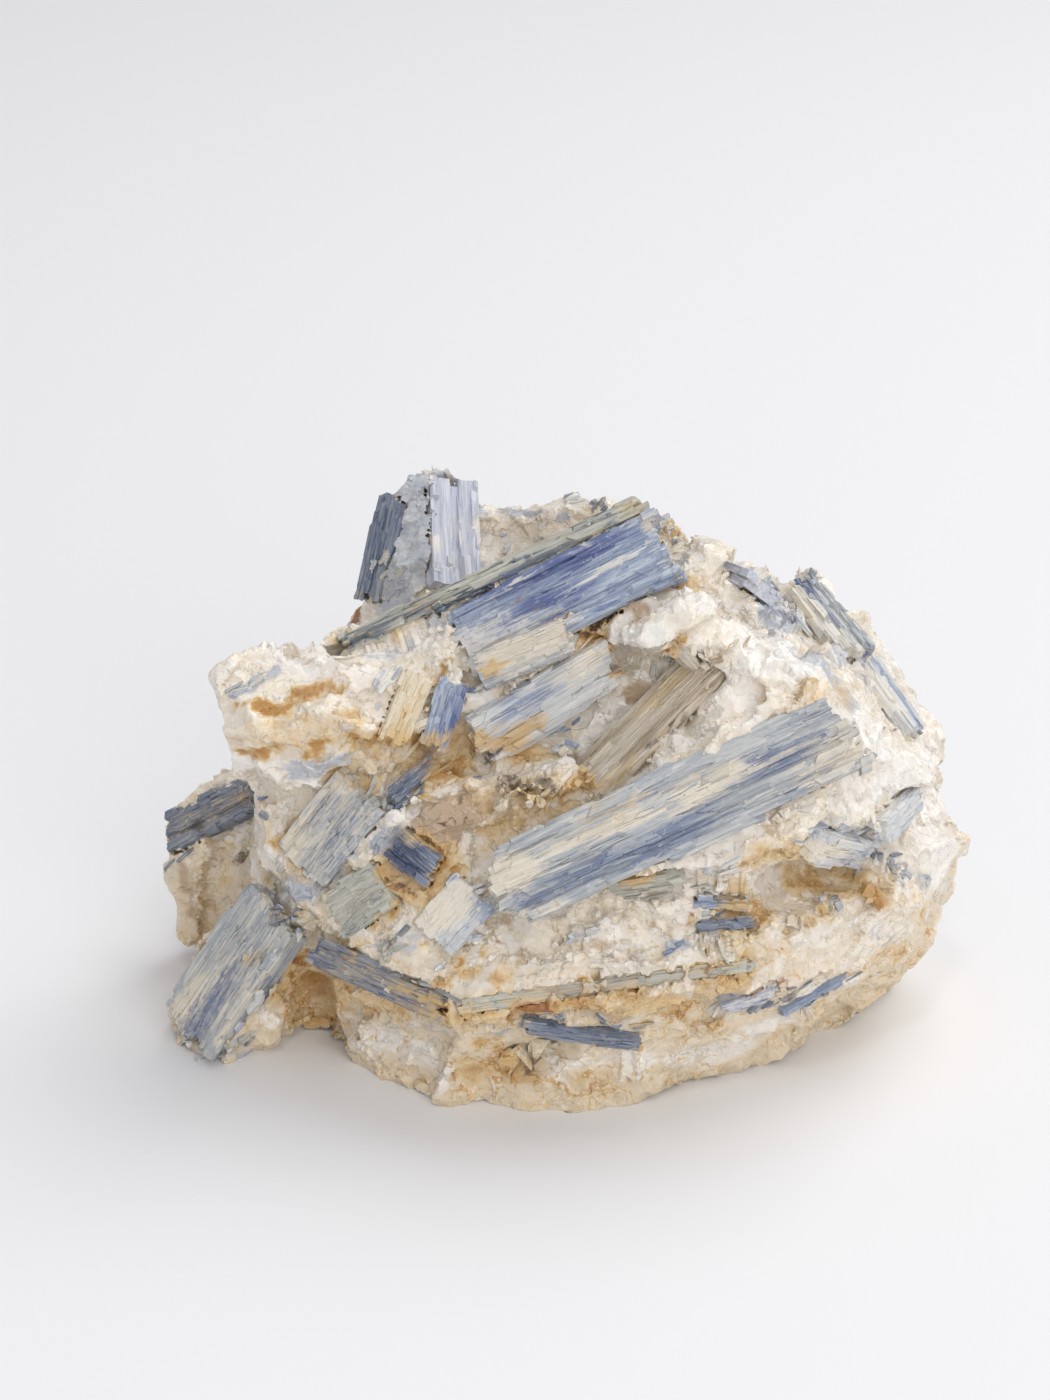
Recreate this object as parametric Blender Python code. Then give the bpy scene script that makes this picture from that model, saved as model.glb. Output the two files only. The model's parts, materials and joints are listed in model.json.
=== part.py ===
"""Kyanite blades grown in a lump of quartz.

A palm-sized mineral specimen, about 91 mm wide, that lies on its broken base.
The quartz lump is one solid. Every kyanite blade, or group of blades grown
together, is a solid of its own in a socket cut for it in the quartz.
Lengths are in millimetres until an object is made; Blender's unit is the metre.
+X runs to the right of the front, +Y to the back, +Z up.
"""

import random
from collections import namedtuple

import bmesh
import bpy
from mathutils import Matrix, Vector
from mathutils.bvhtree import BVHTree

MM = 0.001

# The quartz lump
GRAIN_VOXEL = 1.15  # the size at which the lumps are fused into one skin
GRAIN_SIZE = 7.0  # broken quartz lumps on the skin
GRAIN_RELIEF = 2.0
GRIT_SIZE = 3.2  # smaller bumps between them
GRIT_RELIEF = 0.7
LUMP_FACES = 3600  # triangles kept for the quartz
GRAINS = 120  # broken grains scattered over the lumps
GRAIN_RADIUS = 2.4, 4.6
GRAIN_SUNK = 0.5  # share of its radius that a grain's middle lies below the skin

# The blades
SOCKET_GAP = 0.3  # clearance all round a blade in the quartz
STEP_WALL = 0.12  # how steep the step between two lamellae is
INTO_FRONT = Vector((0, 0.9135, -0.4067))
INTO_BACK = Vector((0, -0.94, -0.34))
INTO_LEFT = Vector((0.94, -0.2, -0.28))
INTO_RIGHT = Vector((-0.94, -0.1, -0.33))

# Corners of the broken lumps that the quartz is made of, each a convex block.
LUMPS = {
    "lower_front": [
        (-27, -18, 15), (-17, -24, 16), (-10.5, -29, 16), (4, -30.5, 17.5), (20, -28, 19.5),
        (-24, -14.5, -1), (-13, -25.5, -1), (-6, -26.5, -1), (4.5, -26.5, -1),
        (10, -24, -1), (16, -20, -1), (-24, -18, 32), (-8, -20, 36), (2, -20, 34),
        (12, -19, 38), (-24, 8, -1), (16, 12, -1), (-20, 8, 34), (14, 8, 38),
    ],
    "ledge": [
        (-28, -19, 16), (-17.5, -26.5, 15.5), (-11, -31, 14.6), (4, -32.2, 16.4),
        (20.5, -29.8, 18.6), (-27, -18, 12.6), (-11, -29.5, 11.6), (4, -30.5, 12.6),
        (20, -28, 15), (-20, -10, 14), (20, -10, 16),
    ],
    "right_skirt": [
        (20, -28, 17), (16, -20.5, -1), (25, -14.5, -1), (33.5, -6, -1), (37, 0, -1),
        (38, -8, 6.5), (29, -21, 12), (34, -16, 13), (41, 4, 3), (20, 6, -1), (34, 14, -1),
        (43, 0, 8), (30, 0, 24),
    ],
    "upper_front": [
        (-20, -16, 38), (-5, -14.5, 41), (1, -10.5, 44.5), (-23, -5, 44.5), (-12.5, -3, 48),
        (-3, -8.5, 49), (8, -4, 52.5), (12, 2, 53.5), (8.5, 2, 57.5), (-20, 8, 40),
        (12, 14, 46), (-5, 16, 44), (-15, 0, 30), (12, 0, 30),
    ],
    "left_block": [
        (-36, -12, 43), (-36.2, -14, 38), (-34.5, -8, 45.4), (-28, -7, 46), (-34.5, -12, 31),
        (-23, -2, 45.5), (-21, -18.5, 40), (-22, -18, 31.5), (-33, 4, 38), (-30, 6, 28),
        (-12, 0, 48), (-12, -12, 32), (-15, -14.5, 43), (-28, -17.5, 41),
    ],
    "left_plate": [
        (-13, -21, 35), (-28, -17.5, 19.5), (-34, -10, 29), (-19, -23, 21), (-31, -6, 10),
        (-17, -25, 18), (-20, -8, 34), (-20, -4, 10), (-29, 4, 30),
    ],
    "left_body": [
        (-34, -8, -1), (-37, 6, -1), (-24, 22, -1), (-14, -14, -1), (-33, -4, 28),
        (-31, 14, 24), (-18, 20, 34), (-14, -4, 36), (-36, 4, 14),
    ],
    "left_foot": [
        (-28, -16.5, 19.5), (-40, -6, 10.5), (-43.5, -13.5, 0.5), (-37.5, -18.5, -1),
        (-29, -13.5, 1.5), (-33, -19, 12), (-28, 0, 16), (-37, 3, -1), (-26, -4, -1),
        (-24, -2, 18), (-42.5, -8, -1),
    ],
    "back_left": [
        (-39, 10, 22), (-45.5, 8, 15), (-44, 4, 5.5), (-36, 15, 24), (-28, 20, 22),
        (-30, 18, -1), (-42, 11, 1.5), (-26, 2, 26), (-39, 2, -1), (-22, 22, -1),
    ],
    "back_peak": [
        (-13, 29.5, 54), (-18.5, 25, 53.5), (-23, 20, 40), (-25.5, 22, 24), (-8, 28, 51),
        (-10, 18, 44), (-20, 30, 6), (-3, 25, 45), (-14, 12, 37), (-16, 32, 20),
        (0, 31, 18), (-24, 14, 10),
    ],
    "back_rim": [
        (-8, 27, 49.8), (-1.3, 25, 49.6), (4.4, 23, 50.8), (10.4, 15, 52.8), (16, 13, 50.4),
        (21, 10, 49.8), (22, 22, 38), (8, 29, 34), (-8, 30, 34), (-8, 20, 30),
        (20, 18, 20), (0, 10, 34),
    ],
    "back_body": [
        (-22, 8, 36), (22, 8, 40), (26, 24, 30), (-22, 28, 14), (-4, 33, 16), (12, 32, 14),
        (28, 26, 6), (-26, 22, -1), (-6, 30, -1), (22, 24, -1), (30, 10, -1),
        (-20, -6, -1), (16, -8, -1),
    ],
    "quartz_knob": [
        (5, -12, 49.2), (8, -15.5, 49.2), (13.8, -10, 54.8), (18.8, -14, 51.8),
        (18.4, -17.5, 49.4), (13.4, -18.5, 48.4), (10.5, -15, 52.8), (16, -14.5, 53.6),
        (12, 2, 53), (4, -4, 44), (20, -4, 42), (14, -6, 42),
    ],
    "right_bulk": [
        (19.5, -13.5, 49.6), (12.6, -17.5, 42.2), (5.3, -21.5, 34), (10, -7, 42), (0, -14, 30),
        (17, -6, 44), (25, -27.8, 36.5), (27, -19.5, 46.5), (12, -25, 38), (24, -28.5, 31),
        (6, -30, 28.6), (18, -29.5, 27.5), (34, -21, 29.5), (42, -8, 31), (43.5, 4, 29),
        (24, 2, 50), (27, 6, 48.5), (38, 8, 37), (36, 20, 24), (26, 22, 36),
        (12, 0, 20), (34, 0, 20),
    ],
    "right_foot": [
        (25.5, -27, 23.4), (18, -28.6, 18), (29, -24, 15), (35.5, -19, 24.5), (37, -16, 12),
        (46, 1, 17), (44.5, -7, 22), (44, 4, 26), (43.5, 4, 9), (39, -10, 7.5),
        (24, -12, 1), (38, 2, 3), (30, 20, 4), (12, 0, 10), (36, 18, 24), (14, -26, 23),
    ],
    "right_shoulder": [
        (22, 4, 51), (28.5, 7, 49.5), (36.5, 8, 40), (43.3, 5, 30), (39, -2, 32),
        (31, -7, 45), (23.5, -9, 48.5), (26, 10, 30), (38, 12, 26), (24, 0, 36),
    ],
}

# A blade runs from start to end along the middle of its face. Without `facing` it is
# laid on the rock's skin, looked for along `into`, with its face `proud` over it; with
# `facing` it lies exactly where its ends say. `step` is how far its lamellae step down,
# `rag` how unevenly its ends are broken.
Blade = namedtuple("Blade", "start end width thick proud strips step rag into facing")


def blade(start, end, width, thick, proud=0.7, strips=4, step=0.45, rag=1.2,
          into=INTO_FRONT, facing=None):
    return Blade(start, end, width, thick, proud, strips, step, rag, into, facing)


# Each node: the colour of its kyanite, and its blade.
NODES = {
    "summit_blade": ("kyanite_blue", blade(
        (-10.6, -7.7, 45.9), (11, -5.3, 57), 8.0, 4.2, strips=7, rag=1.0,
        facing=(-0.25, -0.74, 0.63))),
    "summit_rim_blade": ("kyanite_green", blade(
        (-23.1, -4, 44.7), (8.4, -1.2, 59.6), 2.0, 3.2, strips=3, rag=1.6,
        facing=(-0.25, -0.74, 0.63))),
    "collar_blade": ("kyanite_grey", blade(
        (-8.8, -12.8, 45), (0.6, -12.1, 49), 3.8, 2.0, facing=(-0.15, -0.8, 0.6))),
    "pale_blade": ("kyanite_pale", blade(
        (-9, -15, 38.7), (5.0, -11, 46.1), 5.6, 2.4, 0.9, strips=7, rag=1.6)),
    "small_blue_blade": ("kyanite_blue", blade(
        (-13.2, -16, 38.2), (-11, -12, 43.8), 3.0, 2.2, 1.0, rag=0.8)),
    "rusty_blade": ("kyanite_rusty", blade(
        (-18, -17, 38.6), (-15, -12, 44.4), 3.2, 2.2, 0.8)),
    "smoky_sheet": ("kyanite_smoky", blade(
        (15.6, -11.4, 46.4), (2.6, -17, 34.4), 7.0, 1.6, strips=6, step=0.3,
        facing=(-0.67, -0.3, 0.68))),
    "centre_blade": ("kyanite_grey", blade(
        (-5.5, -27, 26), (30, -22, 41.9), 8.2, 2.6, 0.6, strips=8, step=0.35, rag=2.4)),
    "violet_plate": ("kyanite_violet", blade(
        (15.4, -3, 53.4), (21.4, -5, 50.7), 4.8, 2.0, 0.8, step=0.2, rag=1.0)),
    "shoulder_blade_upper": ("kyanite_grey", blade(
        (26.4, 2, 48.8), (32, -1, 41.8), 6.0, 2.4, 0.8, strips=6, step=0.6)),
    "shoulder_blade_lower": ("kyanite_pale", blade(
        (33.9, 0, 40.9), (39.4, 0, 32.6), 4.8, 2.4, 0.8, strips=5, step=0.5)),
    "arc_blade": ("kyanite_pale", blade(
        (26, -22, 29.8), (32.4, -18, 26.6), 3.6, 2.0, 0.8, rag=1.0)),
    "right_sliver": ("kyanite_pale", blade(
        (34, -18, 28.8), (38.4, -14, 30.8), 3.0, 1.8, 0.6, rag=1.0)),
    "lens_blade": ("kyanite_green", blade(
        (5.2, -28, 26.6), (12.2, -28, 27.9), 2.2, 1.8, 0.8, strips=3, rag=1.0)),
    "waist_sliver_upper": ("kyanite_pale", blade(
        (14.4, -28, 25.7), (20, -28, 25.5), 1.6, 1.8, 0.8, strips=2, rag=0.8)),
    "waist_sliver_lower": ("kyanite_dark", blade(
        (14.6, -28, 22.6), (20.6, -27, 22.6), 1.2, 1.8, strips=2, rag=0.8)),
    "hem_blade_upper": ("kyanite_blue", blade(
        (17.6, -24, 11), (23.4, -24, 13.4), 2.6, 2.0, strips=3)),
    "hem_blade_lower": ("kyanite_blue", blade(
        (24.2, -22, 9.2), (30.6, -18, 11.4), 1.8, 2.0, strips=3)),
    "ledge_blade": ("kyanite_green", blade(
        (-10.4, -30.6, 14.6), (20, -28, 18.3), 1.6, 3.0, strips=2, step=0.2, rag=1.0,
        facing=(0, -0.85, 0.5))),
    "lip_blade": ("kyanite_dark", blade(
        (-26.6, -20, 16), (-12.8, -29.4, 14.4), 3.2, 2.8, rag=1.0,
        facing=(-0.4, -0.6, 0.65))),
    "under_ledge_blade": ("kyanite_dark", blade(
        (-3.6, -29, 11.4), (8.6, -28, 8.8), 2.0, 1.8, 0.6, strips=3, rag=1.0)),
    "white_blade": ("kyanite_pale", blade(
        (-13.2, -27, 20.5), (-8.8, -27, 26.2), 5.4, 2.4, rag=0.8)),
    "pale_green_blade": ("kyanite_green", blade(
        (-23.8, -21, 20.2), (-18.4, -23, 25.2), 5.4, 2.4, 0.6, strips=5, step=0.25,
        rag=0.6)),
    "dark_stub": ("kyanite_dark", blade(
        (-17.0, -24, 30.4), (-13.0, -24, 27), 3.6, 2.6, 1.0, rag=0.8)),
    "seam_blade": ("kyanite_dark", blade(
        (-17.6, -19, 33.2), (-13, -17, 36.6), 1.8, 1.8, strips=2, rag=1.0)),
    "left_plate_blade": ("kyanite_grey", blade(
        (-21, -19.5, 34), (-27.4, -18.5, 25), 7.0, 2.4, 0.5, strips=6)),
    "left_foot_blade": ("kyanite_grey", blade(
        (-30.8, -16.5, 18.2), (-40.4, -16, 3.2), 9.0, 3.2, 0.8, strips=7, step=0.6)),
    "left_ear_blade": ("kyanite_dark", blade(
        (-44.2, 8, 15.8), (-35, 4, 22.6), 4.4, 2.6, strips=5, step=0.8)),
    "back_peak_blade_left": ("kyanite_dark", blade(
        (-21.4, 20, 40.2), (-18.6, 24, 51), 3.2, 2.6, 0.6)),
    "back_peak_blade_right": ("kyanite_violet", blade(
        (-11.4, 20, 41), (-12, 26, 51.6), 6.0, 2.8, strips=5)),
    "back_blade_upper": ("kyanite_blue", blade(
        (22, 26, 40), (-4, 31, 26), 8.0, 3.0, strips=6, into=INTO_BACK, rag=2.0)),
    "back_blade_lower": ("kyanite_grey", blade(
        (-22, 26, 10), (-2, 30, 17), 6.0, 2.6, strips=5, into=INTO_BACK, rag=2.0)),
    "right_side_blade": ("kyanite_grey", blade(
        (40, 18, 9), (41, 9, 19), 4.6, 2.4, into=INTO_RIGHT, rag=1.6)),
    "left_side_blade": ("kyanite_pale", blade(
        (-34, 8, 34), (-32, 16, 18), 5.0, 2.4, into=INTO_LEFT, rag=1.6)),
}

COLOURS = {
    "quartz": ((0.80, 0.74, 0.66), 0.55),
    "kyanite_blue": ((0.10, 0.17, 0.36), 0.35),
    "kyanite_grey": ((0.27, 0.35, 0.45), 0.4),
    "kyanite_pale": ((0.55, 0.62, 0.70), 0.4),
    "kyanite_green": ((0.52, 0.54, 0.47), 0.4),
    "kyanite_dark": ((0.06, 0.08, 0.14), 0.35),
    "kyanite_rusty": ((0.62, 0.47, 0.26), 0.5),
    "kyanite_smoky": ((0.42, 0.36, 0.28), 0.4),
    "kyanite_violet": ((0.50, 0.54, 0.68), 0.35),
}


def material(name):
    found = bpy.data.materials.get(name)
    if found:
        return found
    made = bpy.data.materials.new(name)
    made.use_nodes = True
    shader = made.node_tree.nodes["Principled BSDF"]
    colour, roughness = COLOURS[name]
    shader.inputs["Base Color"].default_value = (*colour, 1)
    shader.inputs["Roughness"].default_value = roughness
    shader.inputs["Metallic"].default_value = 0
    return made


def add_object(name, mesh, colour=None):
    made = bpy.data.objects.new(name, mesh)
    bpy.context.scene.collection.objects.link(made)
    if colour:
        mesh.materials.clear()
        mesh.materials.append(material(colour))
    return made


def evaluated_mesh(source):
    """A plain mesh of what the object's modifiers make."""
    graph = bpy.context.evaluated_depsgraph_get()
    return bpy.data.meshes.new_from_object(source.evaluated_get(graph))


def convex_block(bm, corners):
    verts = [bm.verts.new(Vector(corner) * MM) for corner in corners]
    made = bmesh.ops.convex_hull(bm, input=verts)
    inside = {item for item in made["geom_interior"] + made["geom_unused"]
              if isinstance(item, bmesh.types.BMVert)}
    bmesh.ops.delete(bm, geom=list(inside), context="VERTS")


def grain_block(bm, middle, radius, dice):
    """A broken quartz grain: the hull of a few points on a ball."""
    points = []
    for _ in range(9):
        out = Vector((dice.gauss(0, 1), dice.gauss(0, 1), dice.gauss(0, 1))).normalized()
        points.append(middle + out * radius * dice.uniform(0.85, 1.1))
    convex_block(bm, points)


def scatter_grains(bm):
    """Grains half sunk in the lumps all round."""
    dice = random.Random(7)
    skin = BVHTree.FromBMesh(bm)
    for _ in range(GRAINS):
        out = Vector((dice.gauss(0, 1), dice.gauss(0, 1), dice.gauss(0, 0.8))).normalized()
        aim = Vector((dice.uniform(-22, 22), dice.uniform(-8, 10), dice.uniform(14, 34)))
        hit = skin.ray_cast((aim + out * 90) * MM, -out)
        radius = dice.uniform(*GRAIN_RADIUS)
        if hit[0]:
            grain_block(bm, hit[0] / MM - hit[1] * radius * GRAIN_SUNK, radius, dice)


def add_relief(rock, name, kind, size, depth, middle):
    texture = bpy.data.textures.new(name, type=kind)
    texture.noise_scale = size * MM
    relief = rock.modifiers.new(name, "DISPLACE")
    relief.texture = texture
    relief.texture_coords = "LOCAL"
    relief.strength = depth * MM
    relief.mid_level = middle
    return texture


def quartz_skin():
    """The fused, broken surface of the lump, before any socket is cut."""
    bm = bmesh.new()
    for corners in LUMPS.values():
        convex_block(bm, corners)
    scatter_grains(bm)
    mesh = bpy.data.meshes.new("quartz_lumps")
    bm.to_mesh(mesh)
    bm.free()
    rock = add_object("quartz_lumps", mesh)
    fuse = rock.modifiers.new("fuse", "REMESH")
    fuse.mode = "VOXEL"
    fuse.voxel_size = GRAIN_VOXEL * MM
    grains = add_relief(rock, "grains", "VORONOI", GRAIN_SIZE, GRAIN_RELIEF, 0.25)
    grains.distance_metric = "DISTANCE"
    grains.weight_1 = -1
    grains.weight_2 = 1
    add_relief(rock, "grit", "CLOUDS", GRIT_SIZE, GRIT_RELIEF, 0.5)
    skin = evaluated_mesh(rock)
    bpy.data.objects.remove(rock)
    return skin


def broken_off_flat(mesh):
    """Cuts the lump at the plane that it rests on."""
    bm = bmesh.new()
    bm.from_mesh(mesh)
    everything = list(bm.verts) + list(bm.edges) + list(bm.faces)
    cut = bmesh.ops.bisect_plane(
        bm, geom=everything, plane_co=(0, 0, 0), plane_no=(0, 0, 1), clear_inner=True
    )
    rim = [item for item in cut["geom_cut"] if isinstance(item, bmesh.types.BMEdge)]
    bmesh.ops.holes_fill(bm, edges=rim)
    bmesh.ops.triangulate(bm, faces=bm.faces[:])
    bm.to_mesh(mesh)
    bm.free()


def coarser(mesh, faces):
    """The same skin with about this many triangles."""
    bm = bmesh.new()
    bm.from_mesh(mesh)
    bmesh.ops.triangulate(bm, faces=bm.faces[:])
    bm.to_mesh(mesh)
    bm.free()
    rock = add_object("quartz_coarser", mesh)
    thin = rock.modifiers.new("thin", "DECIMATE")
    thin.ratio = faces / len(mesh.polygons)
    made = evaluated_mesh(rock)
    bpy.data.objects.remove(rock)
    return made


def blade_mesh(bm, spec, place, dice, grow=0.0):
    """A slab split lengthwise into lamellae that step up and down and end unevenly.

    With `grow` it is instead the plain box that holds the blade and its clearance.
    """
    length = (spec.end - spec.start).length
    if grow:
        half = Vector((length / 2 + spec.rag / 2 + grow, spec.width / 2 + grow, 0))
        floor, roof = -spec.thick - grow, spec.thick
        columns = [(-half.y, 0, 0, 0), (half.y, 0, 0, 0)]
        stations = [-half.x, half.x]
        heights = {(c, s): roof for c in range(2) for s in range(2)}
    else:
        edges = [i / spec.strips + dice.uniform(-0.25, 0.25) / spec.strips
                 for i in range(1, spec.strips)]
        edges = [0, *edges, 1]
        columns, tops = [], []
        for low, high in zip(edges, edges[1:]):
            ends = dice.uniform(-1, 1) * spec.rag / 2, dice.uniform(-1, 1) * spec.rag / 2
            top = -dice.uniform(0, spec.step)
            for side, inset in ((low, STEP_WALL / 2), (high, -STEP_WALL / 2)):
                columns.append(((side - 0.5) * spec.width + inset, *ends, top))
        breaks = sorted(dice.uniform(-0.4, 0.4) for _ in range(2))
        stations = [-length / 2, breaks[0] * length, breaks[0] * length + 0.3,
                    breaks[1] * length + 0.6, length / 2]
        drops = [dice.uniform(0, 0.3) for _ in range(3)]
        drop_at = [drops[0], drops[0], drops[1], drops[1], drops[2]]
        floor = -spec.thick
        heights = {(c, s): columns[c][3] - drop_at[s]
                   for c in range(len(columns)) for s in range(len(stations))}
    last = len(stations) - 1

    def corner(column, station, z):
        y, low_end, high_end, _ = columns[column]
        x = stations[station]
        if station == 0:
            x += low_end
        if station == last:
            x += high_end
        return bm.verts.new(place @ (Vector((x, y, z)) * MM))

    count = len(columns)
    top = [[corner(c, s, heights[c, s]) for s in range(last + 1)] for c in range(count)]
    foot = {}
    for c in range(count):
        for s in range(last + 1):
            if c in (0, count - 1) or s in (0, last):
                foot[c, s] = corner(c, s, floor)
    for c in range(count - 1):
        for s in range(last):
            bm.faces.new((top[c][s], top[c][s + 1], top[c + 1][s + 1], top[c + 1][s]))
    ring = [(c, 0) for c in range(count)]
    ring += [(count - 1, s) for s in range(1, last + 1)]
    ring += [(c, last) for c in range(count - 2, -1, -1)]
    ring += [(0, s) for s in range(last - 1, 0, -1)]
    for here, there in zip(ring, ring[1:] + ring[:1]):
        bm.faces.new((top[here[0]][here[1]], top[there[0]][there[1]], foot[there], foot[here]))
    bm.faces.new([foot[at] for at in ring])


def seat(spec, skin):
    """The blade with its ends on the rock, and its place: x along it, z out of its face."""
    into = spec.into.normalized()

    def on_skin(point):
        hit = skin.ray_cast((point - into * 60) * MM, into)
        return (hit[0] / MM, hit[1]) if hit[0] else (point, -into)

    start, end = Vector(spec.start), Vector(spec.end)
    if spec.facing:
        face = Vector(spec.facing)
        middle = (start + end) / 2
    else:
        start, end = on_skin(start)[0], on_skin(end)[0]
        middle = (start + end) / 2
        across = into.cross(end - start).normalized() * spec.width * 0.3
        footprint = [on_skin(start.lerp(end, share) + across * side)
                     for share in (0.15, 0.4, 0.6, 0.85) for side in (-1, 0, 1)]
        face = sum((normal for _, normal in footprint), Vector())
    along = (end - start).normalized()
    face = (face - along * face.dot(along)).normalized()
    if not spec.facing:
        heights = sorted((point - middle).dot(face) for point, _ in footprint)
        middle += face * (heights[len(heights) // 2] + spec.proud)
    turn = Matrix((along, face.cross(along), face)).transposed()
    place = Matrix.Translation(middle * MM) @ turn.to_4x4()
    return spec._replace(start=start, end=end), place


def mesh_of(name, bm):
    bmesh.ops.recalc_face_normals(bm, faces=bm.faces[:])
    mesh = bpy.data.meshes.new(name)
    bm.to_mesh(mesh)
    bm.free()
    return mesh


def blade_nodes(skin):
    """Makes every blade, and the cutters of their sockets."""
    sockets = bpy.data.collections.new("sockets")
    bpy.context.scene.collection.children.link(sockets)
    for number, (name, (colour, spec)) in enumerate(NODES.items()):
        dice = random.Random(100 + number)
        spec, place = seat(spec, skin)
        bm = bmesh.new()
        blade_mesh(bm, spec, place, dice)
        add_object(name, mesh_of(name, bm), colour)
        bm = bmesh.new()
        blade_mesh(bm, spec, place, dice, SOCKET_GAP)
        cutter = bpy.data.objects.new("socket_of_" + name, mesh_of("socket_of_" + name, bm))
        cutter.hide_render = True
        cutter.display_type = "WIRE"
        sockets.objects.link(cutter)
    return sockets


def without_crumbs(mesh):
    """Keeps the lump, without the crumbs that two sockets cut loose between them."""
    bm = bmesh.new()
    bm.from_mesh(mesh)
    left = set(bm.verts)
    pieces = []
    while left:
        piece, reached = set(), [left.pop()]
        while reached:
            vert = reached.pop()
            piece.add(vert)
            near = {edge.other_vert(vert) for edge in vert.link_edges} & left
            left -= near
            reached.extend(near)
        pieces.append(piece)
    pieces.sort(key=len)
    for crumb in pieces[:-1]:
        bmesh.ops.delete(bm, geom=list(crumb), context="VERTS")
    bm.to_mesh(mesh)
    bm.free()


def centre_on_base(solids):
    """Moves everything so that the origin is the middle of the box, on its underside."""
    corners = [vert.co for solid in solids for vert in solid.data.vertices]
    low = Vector([min(co[axis] for co in corners) for axis in range(3)])
    high = Vector([max(co[axis] for co in corners) for axis in range(3)])
    middle = (low + high) / 2
    for solid in solids:
        solid.data.transform(Matrix.Translation((-middle.x, -middle.y, -low.z)))


def main():
    for old in list(bpy.data.objects):
        bpy.data.objects.remove(old)
    lump = coarser(quartz_skin(), LUMP_FACES)
    broken_off_flat(lump)
    rock = add_object("quartz_lump", lump)
    bm = bmesh.new()
    bm.from_mesh(lump)
    skin = BVHTree.FromBMesh(bm)
    bm.free()
    cut = rock.modifiers.new("sockets", "BOOLEAN")
    cut.operation = "DIFFERENCE"
    cut.solver = "EXACT"
    cut.operand_type = "COLLECTION"
    cut_sockets = blade_nodes(skin)
    cut.collection = cut_sockets
    matrix = evaluated_mesh(rock)
    without_crumbs(matrix)
    bpy.data.objects.remove(rock)
    add_object("quartz_matrix", matrix, "quartz")
    for socket in list(cut_sockets.objects):
        bpy.data.objects.remove(socket)
    centre_on_base(list(bpy.data.objects))


main()
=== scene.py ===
"""A kyanite blade cluster in quartz, dressed: broken quartz, split blades, floor and light.

The quartz is a crust of flat broken faces over the solid lump, with loose grains on it. Each
kyanite blade is its solid with split lamellae laid on it, and thin slivers of kyanite lie
between them. Stains, shades of colour, painted shade and painted light are drawn over the
specimen as strokes from mark to mark. A mark is a pixel of the camera's own picture, and the
place is what shows there. Lengths are in millimetres until a mesh is made; Blender's unit is
the metre.
"""

import json
import math
import random
from contextlib import contextmanager

import bpy
import numpy as np
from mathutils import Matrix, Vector, noise
from mathutils.bvhtree import BVHTree
from mathutils.kdtree import KDTree

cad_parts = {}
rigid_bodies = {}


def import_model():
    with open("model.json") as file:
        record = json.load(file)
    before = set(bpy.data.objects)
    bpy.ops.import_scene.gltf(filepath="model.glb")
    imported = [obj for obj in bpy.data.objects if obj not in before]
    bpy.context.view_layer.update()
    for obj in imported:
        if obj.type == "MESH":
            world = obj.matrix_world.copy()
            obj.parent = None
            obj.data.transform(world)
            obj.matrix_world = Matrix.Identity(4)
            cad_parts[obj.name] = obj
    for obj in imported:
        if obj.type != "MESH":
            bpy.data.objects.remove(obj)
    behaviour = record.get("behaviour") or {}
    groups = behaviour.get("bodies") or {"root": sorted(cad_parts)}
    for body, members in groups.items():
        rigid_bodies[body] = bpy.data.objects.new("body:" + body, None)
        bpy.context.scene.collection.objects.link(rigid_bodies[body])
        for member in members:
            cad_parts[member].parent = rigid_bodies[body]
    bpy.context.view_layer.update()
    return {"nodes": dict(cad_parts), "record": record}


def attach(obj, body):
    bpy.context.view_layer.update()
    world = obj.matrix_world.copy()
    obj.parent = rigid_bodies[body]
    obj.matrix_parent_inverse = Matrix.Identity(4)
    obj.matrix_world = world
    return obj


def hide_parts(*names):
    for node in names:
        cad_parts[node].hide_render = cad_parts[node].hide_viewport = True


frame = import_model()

MM = 0.001
noise.seed_set(1)  # noise_vector starts from the clock otherwise

# The camera, in mm
PICTURE = 1050, 1400
LENS, SENSOR = 90, 36
TILT = math.radians(24)
DISTANCE = 385
AIM = Vector((-3.6, -1, 36.1))
LOOK = Vector((0, math.cos(TILT), -math.sin(TILT)))
UP = Vector((0, math.sin(TILT), math.cos(TILT)))
EYE = AIM - LOOK * DISTANCE
LINE_STEP = 9  # pixels between the places along a stroke, about 1 mm

# The specimen
MIDDLE = np.array([0, 0, 26])
FOLIATION = np.array([0.80, 0.28, 0.53])  # the way most blades and chips lie
FADED = 1.45  # a stroke has faded out at this many times its width
WANDERS = (0.7, 1.7), (0.45, 0.6)  # how far a stroke's edge wanders, and over what length
NARROW = 3  # quartz leaves the faces of blades narrower than this bare

# The quartz
SOCKET_FILL = 0.6  # voxel that closes the sockets under the blades
QUARTZ_VOXEL = 0.29  # voxel of the crust
FRONT_TRIANGLES, BACK_TRIANGLES = 195000, 130000
SPLIT = 6.0  # the front crust ends and the back crust starts about this far back
OVERLAP = 0.25  # how far each of them reaches into the other
CUTTER = 80  # reach of the box that cuts the crust in two
MENDING = 6  # rounds of taking out points where the crust touches itself
EVENING = 16  # rounds of smoothing that take the solid's lumps down to about 1 mm
BROKEN_FACES = (5.5, 0.10), (2.8, 0.13), (1.4, 0.10)  # size and tilt
TONE_SHARES = 0.4, 0.35, 0.25  # how much each size of face has to do with how pale it is
SCOOP = 0.18  # how hollow a broken face is
RELIEF = 0.15  # the most that it moves the crust, as a share of its size
BEHIND = 0.35  # how far quartz that would hide a blade is put behind its face
THICKEST_COVER = 2.5  # quartz that hides a blade by more than this stays
HOLLOW = 0.6  # a point this far under the evened surface lies in a hollow
CONTACT = 1.4  # quartz is iron stained, and given painted shade, this near to a blade
SUGAR_GRAINS = 700
GRAIN_RADII = 0.3, 0.8
FLAT_EDGE = 0.32  # edges between faces that turn by fewer radians are shaded smooth

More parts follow.
